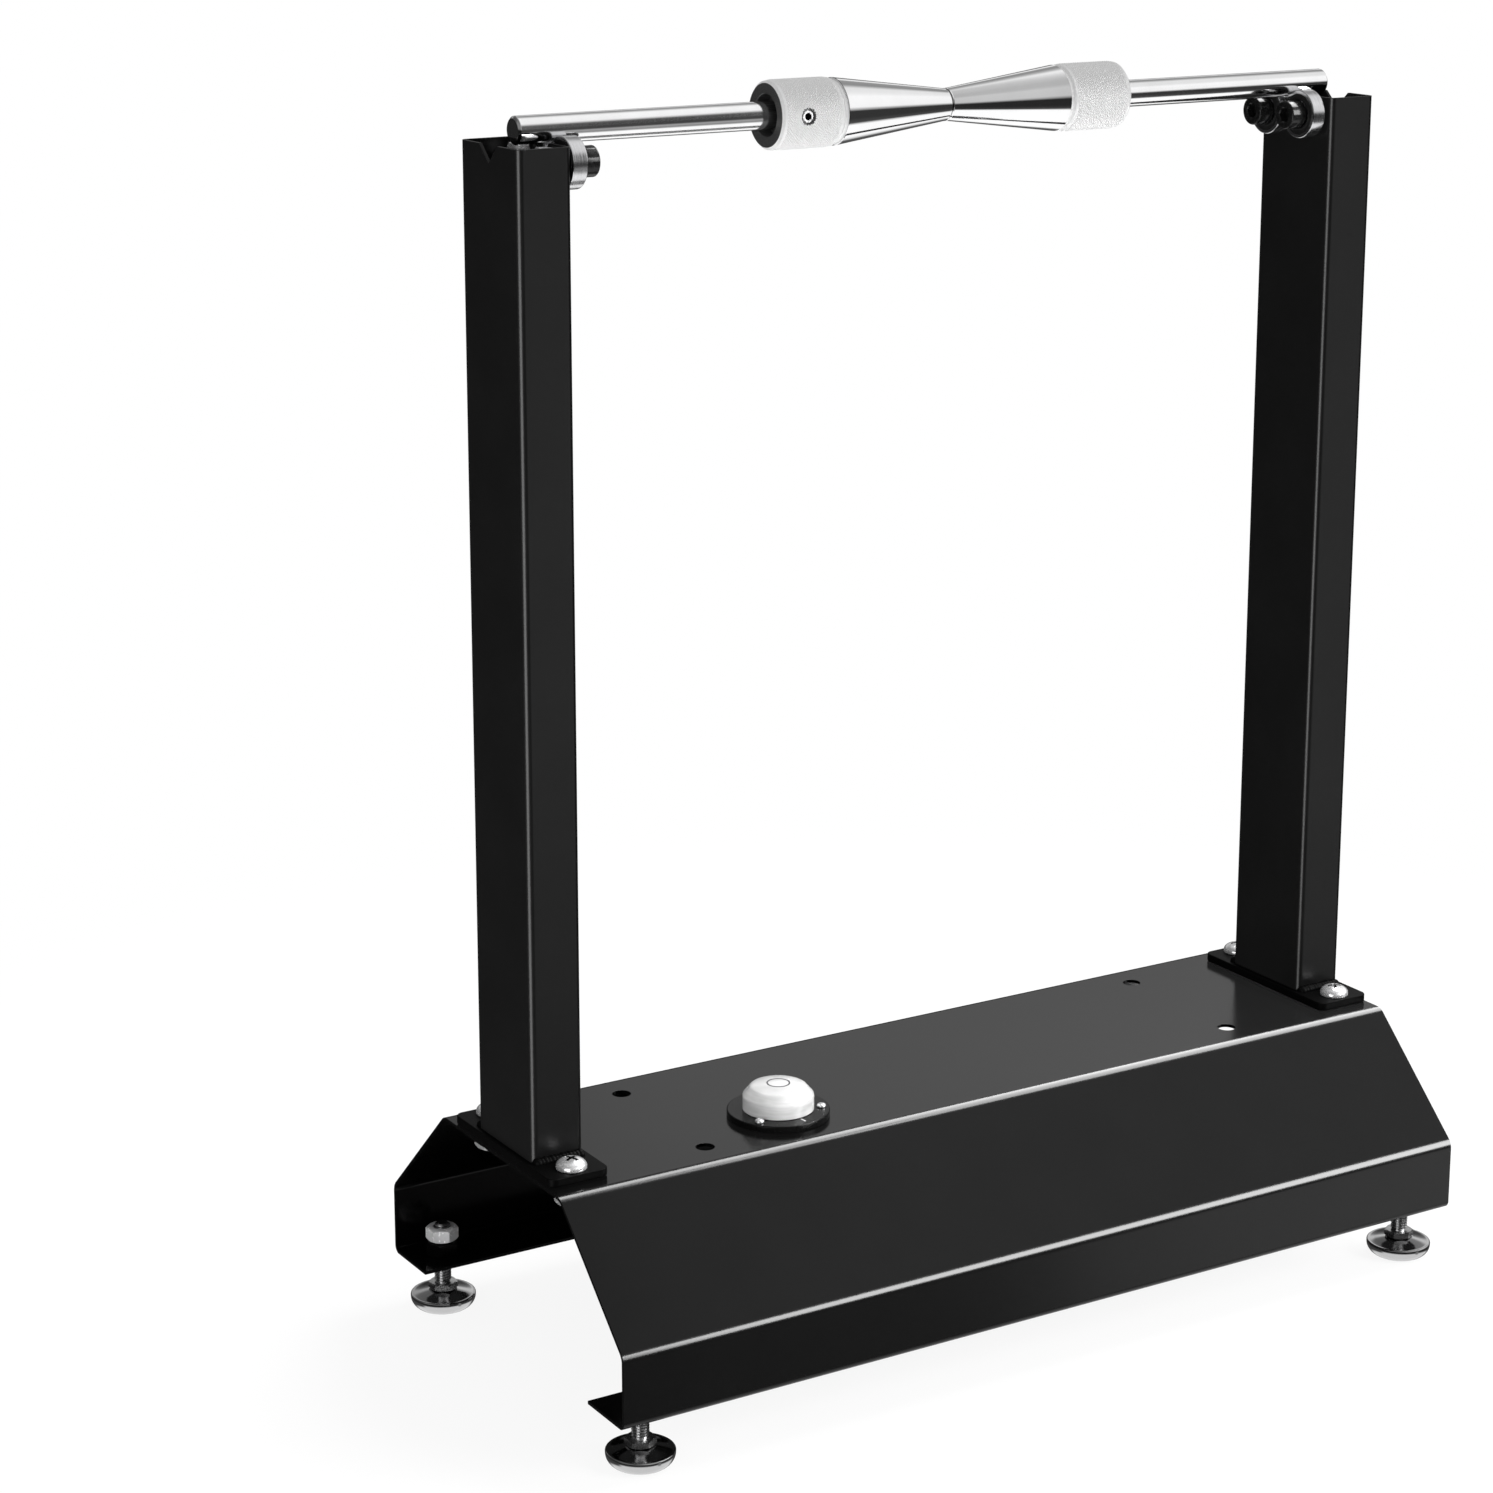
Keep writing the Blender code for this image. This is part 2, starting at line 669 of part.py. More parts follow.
def bearing_meshes():
    """The parts of one bearing round Z, its middle at z = 0, the wheel side up."""
    half = BEARING_WIDTH / 2
    outer = BEARING_DIAMETER / 2
    shoulder = OUTER_SHOULDER_DIAMETER / 2
    inner = INNER_SHOULDER_DIAMETER / 2
    pitch = (shoulder + inner) / 2
    groove = BALL_DIAMETER / 2 + GAP
    lip = inner + SEAL_LIP_GAP
    seal_low = half - SEAL_INSET - SEAL_THICKNESS
    seal_high = half - SEAL_INSET

    reach = math.acos((shoulder - pitch) / groove)
    outer_groove = arc((pitch, 0), groove, -reach, reach, GROOVE_STEPS)
    outer_ring = turned(
        [
            (outer - BEARING_CHAMFER, half),
            (outer, half - BEARING_CHAMFER),
            (outer, -half + BEARING_CHAMFER),
            (outer - BEARING_CHAMFER, -half),
            (shoulder, -half),
            (shoulder, -seal_high),
            (lip, -seal_high),
            (lip, -seal_low),
            (shoulder, -seal_low),
            *outer_groove,
            (shoulder, half),
        ],
        ROUND_SIDES,
        ring=True,
    )

    reach = math.acos((pitch - inner) / groove)
    inner_groove = arc((pitch, 0), groove, math.pi - reach, math.pi + reach, GROOVE_STEPS)
    spacer_z = -half - SPACER_THICKNESS
    inner_ring = turned(
        [
            (BEARING_BORE / 2, half),
            (inner, half),
            *inner_groove,
            (inner, -half),
            (SPACER_DIAMETER / 2, -half),
            (SPACER_DIAMETER / 2, spacer_z),
            (BEARING_BORE / 2, spacer_z),
        ],
        HOLE_SIDES,
        ring=True,
    )

    cage_in = pitch - CAGE_THICKNESS / 2
    cage_out = pitch + CAGE_THICKNESS / 2
    cage = turned(
        [
            (cage_in, -CAGE_WIDTH / 2),
            (cage_out, -CAGE_WIDTH / 2),
            (cage_out, CAGE_WIDTH / 2),
            (cage_in, CAGE_WIDTH / 2),
        ],
        BALL_COUNT,
        ring=True,
    )
    balls = []
    for x, y in polygon(pitch, BALL_COUNT):
        ball = bmesh.new()
        bmesh.ops.create_uvsphere(
            ball,
            u_segments=BALL_SEGMENTS,
            v_segments=BALL_RINGS,
            radius=BALL_DIAMETER / 2,
        )
        balls.append(placed(ball, at(x, y, 0)))
    cage = joined(cage, balls)

    rim = shoulder - GAP
    seal = turned(
        [(lip, seal_low), (rim, seal_low), (rim, seal_high), (lip, seal_high)],
        ROUND_SIDES,
        ring=True,
    )
    return {
        "outer": (mesh_data("bearing_outer", outer_ring), BRIGHT_STEEL),
        "inner": (mesh_data("bearing_inner", inner_ring), BRIGHT_STEEL),
        "balls": (mesh_data("bearing_balls", cage), BRIGHT_STEEL),
        "seal": (mesh_data("bearing_seal", seal), SEAL_RUBBER),
    }


def bolt_meshes():
    """The socket-head bolt, the underside of its head on z = 0, and its nut."""
    head = BOLT_HEAD_DIAMETER / 2
    clamped = 2 * GAP + BEARING_WIDTH + SPACER_THICKNESS + COLUMN_WALL
    length = clamped + GAP + BOLT_NUT_HEIGHT + BOLT_PROUD
    profile = [
        (0, BOLT_HEAD_HEIGHT),
        (head - THREAD_CHAMFER, BOLT_HEAD_HEIGHT),
        (head, BOLT_HEAD_HEIGHT - THREAD_CHAMFER),
        (head, 0),
        (M8 / 2, 0),
        (M8 / 2, -length + THREAD_CHAMFER),
        (M8 / 2 - THREAD_CHAMFER, -length),
        (0, -length),
    ]
    low = BOLT_HEAD_HEIGHT - BOLT_SOCKET_DEPTH
    socket = prism(hexagon(BOLT_SOCKET_FLATS), low, BOLT_HEAD_HEIGHT + OVERRUN)
    bolt = cut(turned(profile, HOLE_SIDES), [socket])
    nut = hex_nut(BOLT_NUT_FLATS, BOLT_NUT_HEIGHT, M8)
    nut = placed(nut, at(0, 0, -clamped - GAP - BOLT_NUT_HEIGHT))
    return mesh_data("bearing_bolt", bolt), mesh_data("bearing_nut", nut)


def roller(place, side, row, bearing, bolt_and_nut):
    """A bearing on its bolt; the outer ring, its seal and the balls turn."""
    inward = ALONG_X if side < 0 else ALONG_MINUS_X
    y = row * roller_y
    middle = at(side * bearing_x, y, roller_z) @ inward
    axis = pivot(f"roller_axis_{place}", side * bearing_x, y, roller_z)
    for part in ("outer", "seal", "balls", "inner"):
        data, finish = bearing[part]
        parent = None if part == "inner" else axis
        add(f"bearing_{part}_{place}", data, finish, middle, parent)
    bolt, nut = bolt_and_nut
    head = at(side * (bearing_x - BEARING_WIDTH / 2 - GAP), y, roller_z) @ inward
    add(f"bearing_bolt_{place}", bolt, BLACK_OXIDE, head)
    add(f"bearing_nut_{place}", nut, ZINC, head)


# Axle and cones

def cone_mesh():
    """A cone on the axle, its tip on z = 0 and its collar up."""
    bore = ROD_DIAMETER / 2 + GAP
    tip = TIP_DIAMETER / 2
    collar = COLLAR_DIAMETER / 2
    neck_end = CONE_LENGTH + NECK_WIDTH
    end = cone_total
    floor = end - COUNTERBORE_DEPTH
    body = turned(
        [
            (bore, 0),
            (tip, 0),
            (tip, TIP_LAND),
            (CONE_DIAMETER / 2, CONE_LENGTH),
            (NECK_DIAMETER / 2, CONE_LENGTH),
            (NECK_DIAMETER / 2, neck_end),
            (collar - COLLAR_CHAMFER, neck_end),
            (collar, neck_end + COLLAR_CHAMFER),
            (collar, end - COLLAR_CHAMFER),
            (collar - COLLAR_CHAMFER, end),
            (COUNTERBORE_DIAMETER / 2, end),
            (COUNTERBORE_DIAMETER / 2, floor),
            (bore, floor),
        ],
        ROUND_SIDES,
        ring=True,
    )
    hole = prism(polygon(M6 / 2 + GAP, BORE_SIDES), 0, collar + OVERRUN)
    return cut(body, [placed(hole, at(0, 0, end - SET_SCREW_FROM_END) @ ALONG_MINUS_Y)])


def set_screw_mesh():
    """A grub screw, its point on z = 0 and its hexagon socket up."""
    radius = M6 / 2
    profile = [
        (0, 0),
        (radius - THREAD_CHAMFER, 0),
        (radius, THREAD_CHAMFER),
        (radius, SET_SCREW_LENGTH - THREAD_CHAMFER),
        (radius - THREAD_CHAMFER, SET_SCREW_LENGTH),
        (0, SET_SCREW_LENGTH),
    ]
    low = SET_SCREW_LENGTH - SET_SOCKET_DEPTH
    socket = prism(hexagon(SET_SOCKET_FLATS), low, SET_SCREW_LENGTH + OVERRUN)
    return cut(turned(profile, BORE_SIDES), [socket])


def axle():
    """The rod with its two cones tip to tip, all on one empty that turns."""
    spindle = pivot("axle_axis", 0, 0, axle_z)
    radius = ROD_DIAMETER / 2
    half = rod_length / 2
    rod = turned(
        [
            (0, -half),
            (radius - ROD_CHAMFER, -half),
            (radius, -half + ROD_CHAMFER),
            (radius, half - ROD_CHAMFER),
            (radius - ROD_CHAMFER, half),
            (0, half),
        ],
        ROUND_SIDES,
    )
    lying = at(0, 0, axle_z) @ ALONG_X
    add("axle_rod", mesh_data("axle_rod", rod), CHROME, lying, spindle)
    cone = mesh_data("cone", cone_mesh())
    screw = mesh_data("set_screw", set_screw_mesh())
    for side_name, side in SIDES:
        outward = ALONG_X if side > 0 else ALONG_MINUS_X
        # the left set screw looks forwards, the right one backwards
        spin = Matrix.Rotation(math.pi if side > 0 else 0.0, 4, "X")
        tip = at(side * GAP / 2, 0, axle_z) @ spin @ outward
        add(f"cone_{side_name}", cone, CHROME, tip, spindle)
        screw_x = side * (GAP / 2 + cone_total - SET_SCREW_FROM_END)
        facing = ALONG_MINUS_Y if side < 0 else ALONG_Y
        point = at(screw_x, side * (radius + GAP), axle_z) @ facing
        add(f"set_screw_{side_name}", screw, BLACK_OXIDE, point, spindle)


# Level

def level_screw_places():
    places = polygon(LEVEL_SCREW_CIRCLE / 2, LEVEL_SCREW_COUNT)
    turn = Matrix.Rotation(LEVEL_SCREW_TURN, 2)
    centre = Vector((LEVEL_X, LEVEL_Y))
    return [tuple(centre + turn @ Vector(place)) for place in places]


def level():
    """The round level: a screwed-down flange, a clear vial and the fluid in it."""
    bottom = base_top_z + GAP
    top = bottom + LEVEL_THICKNESS
    rim = LEVEL_DIAMETER / 2
    inside = VIAL_DIAMETER / 2 - VIAL_WALL
    flange = turned(
        [
            (0, bottom),
            (rim, bottom),
            (rim, top - LEVEL_CHAMFER),
            (rim - LEVEL_CHAMFER, top),
            (inside - GAP, top),
            (inside - GAP, top + SPIGOT_HEIGHT),
            (0, top + SPIGOT_HEIGHT),
        ],
        ROUND_SIDES,
    )
    centre = at(LEVEL_X, LEVEL_Y, 0)
    holes = []
    for x, y in level_screw_places():
        hole = prism(polygon(M3 / 2 + GAP, BORE_SIDES), bottom - OVERRUN, top + OVERRUN)
        holes.append(placed(hole, centre.inverted() @ at(x, y, 0)))
    flange = cut(flange, holes)
    add("level_base", mesh_data("level_base", flange), POWDER_BLACK, centre)

    seat = top + GAP
    outside = VIAL_DIAMETER / 2
    shoulder = VIAL_SHOULDER_DIAMETER / 2
    slope_in = shoulder - VIAL_WALL
    ceiling = VIAL_HEIGHT - VIAL_WALL
    inner_shoulder = VIAL_SHOULDER_HEIGHT - VIAL_WALL
    vial = turned(
        [
            (0, VIAL_HEIGHT),
            (shoulder / 2, (3 * VIAL_HEIGHT + VIAL_SHOULDER_HEIGHT) / 4),
            (shoulder, VIAL_SHOULDER_HEIGHT),
            (outside, VIAL_SIDE_HEIGHT),
            (outside, 0),
            (inside, 0),
            (inside, VIAL_SIDE_HEIGHT - VIAL_WALL / 2),
            (slope_in, inner_shoulder),
            (0, ceiling),
        ],
        ROUND_SIDES,
    )
    add("level_vial", mesh_data("level_vial", vial), CLEAR_ACRYLIC, centre @ at(0, 0, seat))

    floor = SPIGOT_HEIGHT  # the seat and the fluid both stand one gap clear
    bubble = BUBBLE_DIAMETER / 2
    surface = ceiling - GAP - (ceiling - inner_shoulder) * bubble / slope_in
    fluid = turned(
        [
            (0, surface - BUBBLE_DEPTH),
            (bubble / 2, surface - BUBBLE_DEPTH / 2),
            (bubble, surface),
            (slope_in - GAP, inner_shoulder - GAP),
            (inside - GAP, VIAL_SIDE_HEIGHT - VIAL_WALL / 2 - GAP),
            (inside - GAP, floor),
            (0, floor),
        ],
        ROUND_SIDES,
    )
    add("level_fluid", mesh_data("level_fluid", fluid), LEVEL_FLUID, centre @ at(0, 0, seat))

    head = LEVEL_SCREW_HEAD / 2
    length = 2 * GAP + LEVEL_THICKNESS + SHEET + LEVEL_SCREW_PROUD
    screw = turned(
        [
            (0, LEVEL_SCREW_HEAD_HEIGHT),
            (head / 2, LEVEL_SCREW_HEAD_HEIGHT),
            (head, LEVEL_SCREW_HEAD_HEIGHT / 3),
            (head, 0),
            (M3 / 2, 0),
            (M3 / 2, -length),
            (0, -length),
        ],
        BORE_SIDES,
    )
    low = LEVEL_SCREW_HEAD_HEIGHT - LEVEL_SCREW_SLOT_DEPTH
    slot = rectangle(LEVEL_SCREW_HEAD + OVERRUN, LEVEL_SCREW_SLOT_WIDTH)
    screw = cut(screw, [prism(slot, low, LEVEL_SCREW_HEAD_HEIGHT + OVERRUN)])
    data = mesh_data("level_screw", screw)
    for number, (x, y) in enumerate(level_screw_places(), 1):
        add(f"level_screw_{number}", data, ZINC, at(x, y, top + GAP))


def build():
    for item in list(bpy.data.objects):
        bpy.data.objects.remove(item, do_unlink=True)
    base_channel()
    around(foot, foot_meshes())
    for side_name, side in SIDES:
        column(side_name, side)
    around(column_screw, column_screw_meshes())
    around(roller, bearing_meshes(), bolt_meshes())
    axle()
    level()


build()
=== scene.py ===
import json
import math
import random

import bmesh
import bpy
from mathutils import Matrix, Vector

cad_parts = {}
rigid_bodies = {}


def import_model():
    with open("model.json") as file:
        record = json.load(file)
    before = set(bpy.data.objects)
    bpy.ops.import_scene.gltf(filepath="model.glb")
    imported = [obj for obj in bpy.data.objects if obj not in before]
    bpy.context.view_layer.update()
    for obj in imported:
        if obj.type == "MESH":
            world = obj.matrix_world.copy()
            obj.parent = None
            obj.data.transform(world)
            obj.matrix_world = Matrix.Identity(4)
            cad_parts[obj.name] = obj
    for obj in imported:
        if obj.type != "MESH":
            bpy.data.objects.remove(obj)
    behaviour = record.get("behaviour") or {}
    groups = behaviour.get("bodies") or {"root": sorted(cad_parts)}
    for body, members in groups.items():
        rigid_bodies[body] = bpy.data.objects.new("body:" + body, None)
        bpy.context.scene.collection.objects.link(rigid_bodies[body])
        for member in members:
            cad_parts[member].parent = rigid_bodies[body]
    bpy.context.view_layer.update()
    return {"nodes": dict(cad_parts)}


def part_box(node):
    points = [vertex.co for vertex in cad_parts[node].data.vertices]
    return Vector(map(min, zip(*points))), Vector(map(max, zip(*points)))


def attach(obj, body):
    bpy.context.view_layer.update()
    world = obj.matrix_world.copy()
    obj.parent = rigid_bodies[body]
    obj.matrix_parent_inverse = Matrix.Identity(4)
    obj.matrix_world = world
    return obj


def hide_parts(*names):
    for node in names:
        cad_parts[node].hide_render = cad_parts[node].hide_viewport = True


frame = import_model()
nodes = frame["nodes"]

sideSigns = {"left": -1, "right": 1}
rowSigns = {"front": -1, "back": 1}
places = {f"{side}_{row}": (side, row) for side in sideSigns for row in rowSigns}

alongX = Matrix.Rotation(math.radians(90), 4, "Y")
alongMinusX = Matrix.Rotation(math.radians(-90), 4, "Y")
alongY = Matrix.Rotation(math.radians(-90), 4, "X")
alongMinusY = Matrix.Rotation(math.radians(90), 4, "X")
upsideDown = Matrix.Rotation(math.radians(180), 4, "X")
sectionToX = Matrix(((0, 0, 1, 0), (1, 0, 0, 0), (0, 1, 0, 0), (0, 0, 0, 1)))

mergeDistance = 1e-7
hair = 1e-5  # what counts as on a face
overrun = 0.001  # how far a cutter reaches past a face
m8 = dict(thread=0.0039, pitch=0.00125, flats=0.013, hole=0.00425)


# Where things are

def low(node):
    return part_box(node)[0]


def high(node):
    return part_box(node)[1]


def middle(node):
    return (low(node) + high(node)) / 2


def at(x, y, z):
    return Matrix.Translation((x, y, z))


def turned(degrees):
    return Matrix.Rotation(math.radians(degrees), 4, "Z")


def some(sizes, names):
    return [sizes[name] for name in names.split()]


# Shapes

def moved(bm, matrix):
    bm.transform(matrix)
    return bm


def facingOut(bm):
    bmesh.ops.recalc_face_normals(bm, faces=bm.faces)
    return bm


def arcPoints(centre, radius, start, end, steps):
    turns = [start + (end - start) * step / steps for step in range(steps + 1)]
    return [
        (centre[0] + radius * math.cos(turn), centre[1] + radius * math.sin(turn))
        for turn in turns
    ]


def roundedOutline(width, depth, radius, steps=8):
    quarter = math.pi / 2
    points = []
    for turn, (x, y) in enumerate(((1, 1), (-1, 1), (-1, -1), (1, -1))):
        centre = (x * (width / 2 - radius), y * (depth / 2 - radius))
        points += arcPoints(centre, radius, turn * quarter, (turn + 1) * quarter, steps)
    return points


def spun(profile, sides, ring=False):
    # (radius, height) points turned round Z; a ring profile is a closed loop
    bm = bmesh.new()
    points = [bm.verts.new((radius, 0, height)) for radius, height in profile]
    lines = [bm.edges.new(pair) for pair in zip(points, points[1:])]
    if ring:
        lines.append(bm.edges.new((points[-1], points[0])))
    bmesh.ops.spin(
        bm, geom=points + lines, cent=(0, 0, 0), axis=(0, 0, 1),
        angle=math.tau, steps=sides, use_merge=True,
    )
    bmesh.ops.remove_doubles(bm, verts=bm.verts, dist=mergeDistance)
    return facingOut(bm)


def chamfered(radius, bottom, top, inset, rise, sides):
    # A turned rod with both ends chamfered
    return spun(
        [
            (0, bottom), (radius - inset, bottom), (radius, bottom + rise),
            (radius, top - rise), (radius - inset, top), (0, top),
        ],
        sides,
    )


def raised(outline, bottom, top):
    # An outline of (x, y) points drawn up into a solid
    bm = bmesh.new()
    face = bm.faces.new([bm.verts.new((x, y, bottom)) for x, y in outline])
    grown = bmesh.ops.extrude_face_region(bm, geom=[face])["geom"]
    rising = [item for item in grown if isinstance(item, bmesh.types.BMVert)]
    bmesh.ops.translate(bm, verts=rising, vec=(0, 0, top - bottom))
    return facingOut(bm)


def drawnAlongX(section, start, end):
    # A section of (y, z) points drawn out along X
    return facingOut(moved(raised(section, start, end), sectionToX))


def rod(radius, bottom, top, sides=32):
    bm = bmesh.new()
    bmesh.ops.create_cone(
        bm, cap_ends=True, segments=sides, radius1=radius, radius2=radius, depth=top - bottom,
    )
    bmesh.ops.translate(bm, verts=bm.verts, vec=(0, 0, (top + bottom) / 2))
    return bm


def hexPrism(flats, bottom, top):
    return rod(flats / math.sqrt(3), bottom, top, sides=6)


def softened(bm, width, segments=2, sharper=30, pick=lambda edge: True):
    # Rounds the picked edges that turn by more than an angle
    limit = math.radians(sharper)
    edges = [
        edge for edge in bm.edges
        if len(edge.link_faces) == 2 and edge.calc_face_angle() > limit and pick(edge)
    ]
    bmesh.ops.bevel(
        bm, geom=edges, offset=width, offset_type="OFFSET", affect="EDGES",
        segments=segments, profile=0.5, material=-1, clamp_overlap=True,
    )
    return bm


def meshOf(name, bm):
    mesh = bpy.data.meshes.new(name)
    bm.to_mesh(mesh)
    bm.free()
    return mesh


def added(name, data):
    # A new object in the scene
    item = bpy.data.objects.new(name, data)
    bpy.context.scene.collection.objects.link(item)
    return item


def together(parts):
    whole = bmesh.new()
    for part in parts:
        scratch = meshOf("scratch", part)
        whole.from_mesh(scratch)
        bpy.data.meshes.remove(scratch)
    return whole


def carved(body, tools, operation="DIFFERENCE"):
    # The body after an exact Boolean with the tools
    pair = [added(label, meshOf(label, bm)) for label, bm in (("body", body), ("tool", together(tools)))]
    change = pair[0].modifiers.new("carve", "BOOLEAN")
    change.operation = operation
    change.solver = "EXACT"
    change.object = pair[1]
    shown = pair[0].evaluated_get(bpy.context.evaluated_depsgraph_get())
    result = bmesh.new()
    result.from_mesh(shown.to_mesh())
    shown.to_mesh_clear()
    for item in pair:
        mesh = item.data
        bpy.data.objects.remove(item)
        bpy.data.meshes.remove(mesh)
    bmesh.ops.remove_doubles(result, verts=result.verts, dist=mergeDistance)
    return result


def threadRidge(radius, root, pitch, bottom, top):
    # The helical ridge of a thread; its heights are shares of the pitch
    sizes = dict(crest=0.42, crestEnd=0.52, foot=0.94, stepsPerTurn=20)
    bm = bmesh.new()
    corners = [
        (root, 0), (radius, pitch * sizes["crest"]), (radius, pitch * sizes["crestEnd"]),
        (root, pitch * sizes["foot"]),
    ]
    face = bm.faces.new([bm.verts.new((r, 0, bottom + z)) for r, z in corners])
    turns = (top - bottom) / pitch - 1
    steps = max(4, int(turns * sizes["stepsPerTurn"]))
    bmesh.ops.spin(
        bm, geom=[face], cent=(0, 0, 0), axis=(0, 0, 1), dvec=(0, 0, turns * pitch / steps),
        angle=math.tau * turns, steps=steps,
    )
    return facingOut(bm)


def threadedShank(
    bottom, top, threadBottom, threadTop, radius=m8["thread"], pitch=m8["pitch"], chamfer=0.0006,
):
    # A round shank whose thread runs between two heights, its foot sunk a little in the shank
    sizes = dict(depth=0.5, sunk=0.00005, sides=28)
    root = radius - pitch * sizes["depth"]
    shank = chamfered(root, bottom, top, chamfer, chamfer, sizes["sides"])
    return together([shank, threadRidge(radius, root - sizes["sunk"], pitch, threadBottom, threadTop)])


def hexNut(flats, height, flange=0.0):
    # An M8 nut on z = 0 with its corners turned off and its bore countersunk
    sizes = dict(chamfer=0.0009, slope=1.7, sink=0.0004, rim=0.0006, rimTop=0.0012, flangeTop=0.0021)
    chamfer, sink, rim, flangeTop = some(sizes, "chamfer sink rim flangeTop")
    blank = chamfered(flats / math.sqrt(3), 0, height, chamfer * sizes["slope"], chamfer, sides=48)
    nut = carved(blank, [hexPrism(flats, -overrun, height + overrun)], "INTERSECT")
    if flange:
        collar = spun(
            [
                (0, 0), (flange, 0), (flange, rim), (flange - rim, sizes["rimTop"]),
                (flats / 2, flangeTop), (0, flangeTop),
            ],
            sides=48,
        )
        nut = carved(collar, [nut], "UNION")
    bore = m8["thread"]
    mouth = bore + overrun + sink
    countersink = spun(
        [
            (0, -overrun), (mouth, -overrun), (bore, sink), (bore, height - sink),
            (mouth, height + overrun), (0, height + overrun),
        ],
        sides=32,
    )
    return carved(nut, [countersink])


def piece(name, bm, material, body, nodesReplaced, smooth=32):
    # An object at the origin that rides on a body and stands for some CAD nodes
    mesh = meshOf(name, bm)
    mesh.materials.append(material)
    mesh.shade_smooth()
    mesh.set_sharp_from_angle(angle=math.radians(smooth))
    item = added(name, mesh)
    shading = item.modifiers.new("flats", "WEIGHTED_NORMAL")
    shading.keep_sharp = True
    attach(item, body)
    if nodesReplaced:
        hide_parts(*nodesReplaced)
    return item


def dress(node, material):
    # Gives a CAD node a better material
    for slot in nodes[node].material_slots:
        slot.material = material


# Materials

def grey(level):
    return (level, level, level)


def fill(node, **values):
    # Sets the inputs of a node by name, with underscores for spaces
    for socket, value in values.items():
        node.inputs[socket.replace("_", " ")].default_value = value


def principled(name, colour, roughness):
    material = bpy.data.materials.new(name)
    material.use_nodes = True
    shader = material.node_tree.nodes["Principled BSDF"]
    fill(shader, Base_Color=(*colour, 1), Roughness=roughness)
    return material, material.node_tree, shader


def noise(tree, scale, detail, stretch=(1, 1, 1)):
    place = tree.nodes.new("ShaderNodeTexCoord")
    mapping = tree.nodes.new("ShaderNodeMapping")
    fill(mapping, Scale=stretch)
    tree.links.new(place.outputs["Object"], mapping.inputs["Vector"])
    grain = tree.nodes.new("ShaderNodeTexNoise")
    fill(grain, Scale=scale, Detail=detail, Roughness=0.55)
    tree.links.new(mapping.outputs["Vector"], grain.inputs["Vector"])
    return grain.outputs["Fac"]


def mapped(tree, source, start, end, first=0.0, last=1.0, kind="SMOOTHSTEP"):
    node = tree.nodes.new("ShaderNodeMapRange")
    node.interpolation_type = kind
    fill(node, From_Min=start, From_Max=end, To_Min=first, To_Max=last)
    tree.links.new(source, node.inputs["Value"])
    return node.outputs["Result"]


def finish(name, colour, metallic, roughness, tint, grains, rough=None, bump=None, **sockets):
    # A Principled material whose tint, roughness and bump follow one grain each
    look = dict(tintAt=(0.35, 0.65), roughFrom=(0.3, 0.7))
    material, tree, shader = principled(name, colour, roughness)
    fill(shader, Metallic=metallic, **sockets)
    patterns = [noise(tree, *grain) for grain in grains]
    ramp = tree.nodes.new("ShaderNodeValToRGB")
    for element, position, shade in zip(ramp.color_ramp.elements, look["tintAt"], tint):
        element.position = position
        element.color = (*shade, 1)
    tree.links.new(patterns[0], ramp.inputs["Fac"])
    tree.links.new(ramp.outputs["Color"], shader.inputs["Base Color"])
    if rough:
        spread = mapped(tree, patterns[1], *look["roughFrom"], *rough, kind="LINEAR")
        tree.links.new(spread, shader.inputs["Roughness"])
    if bump:
        relief = tree.nodes.new("ShaderNodeBump")
        fill(relief, Distance=bump[0], Strength=bump[1])
        tree.links.new(patterns[2], relief.inputs["Height"])
        tree.links.new(relief.outputs["Normal"], shader.inputs["Normal"])
    return material


def powderCoat(name, black, rough, specular):
    # Black powder coat with a fine, slightly uneven grain
    return finish(
        name, grey(black), 0.0, rough[0], tint=(grey(black), grey(black * 1.25)), rough=rough,
        grains=[(24, 4), (1100, 2)], Specular_IOR_Level=specular,
    )


def chrome(name, lines, scale, rough, bright=0.88):
    # Chrome with the fine marks of turning or grinding
    marks = (scale, 2, lines)
    return finish(
        name, grey(bright), 1.0, rough[0], rough=rough, bump=(0.000003, 0.25),
        tint=[(level, level, level * 1.005) for level in (bright * 0.95, bright)],
        grains=[(60, 3), marks, marks],
    )


def brightZinc(name, metallic):
    return finish(
        name, (0.80, 0.80, 0.81), metallic, 0.24, tint=((0.74, 0.74, 0.75), (0.86, 0.86, 0.865)),
        rough=(0.16, 0.30), bump=(0.000008, 0.3), grains=[(220, 4), (700, 3), (1500, 2)],
    )


baseCoat = powderCoat("baseCoat", 0.0012, (0.17, 0.185), 0.16)
columnCoat = powderCoat("columnCoat", 0.003, (0.28, 0.30), 0.17)
plateCoat = powderCoat("plateCoat", 0.0015, (0.38, 0.44), 0.05)
groundChrome = chrome("groundChrome", (1, 0.02, 0.02), 3200, (0.09, 0.12))
turnedChrome = chrome("turnedChrome", (1, 0.02, 0.02), 2400, (0.05, 0.08))
padChrome = chrome("padChrome", (1, 1, 1), 900, (0.08, 0.14), 0.48)
studChrome = chrome("studChrome", (1, 1, 1), 900, (0.22, 0.28), 0.50)
zincFinish = brightZinc("brightZinc", 0.75)
lockFinish = brightZinc("lockZinc", 0.45)
knurlFinish = finish(
    "knurledChrome", grey(0.96), 0.15, 0.4, tint=(grey(0.91), grey(0.96)),
    rough=(0.34, 0.46), bump=(0.00001, 0.3), grains=3 * [(900, 3)],
)
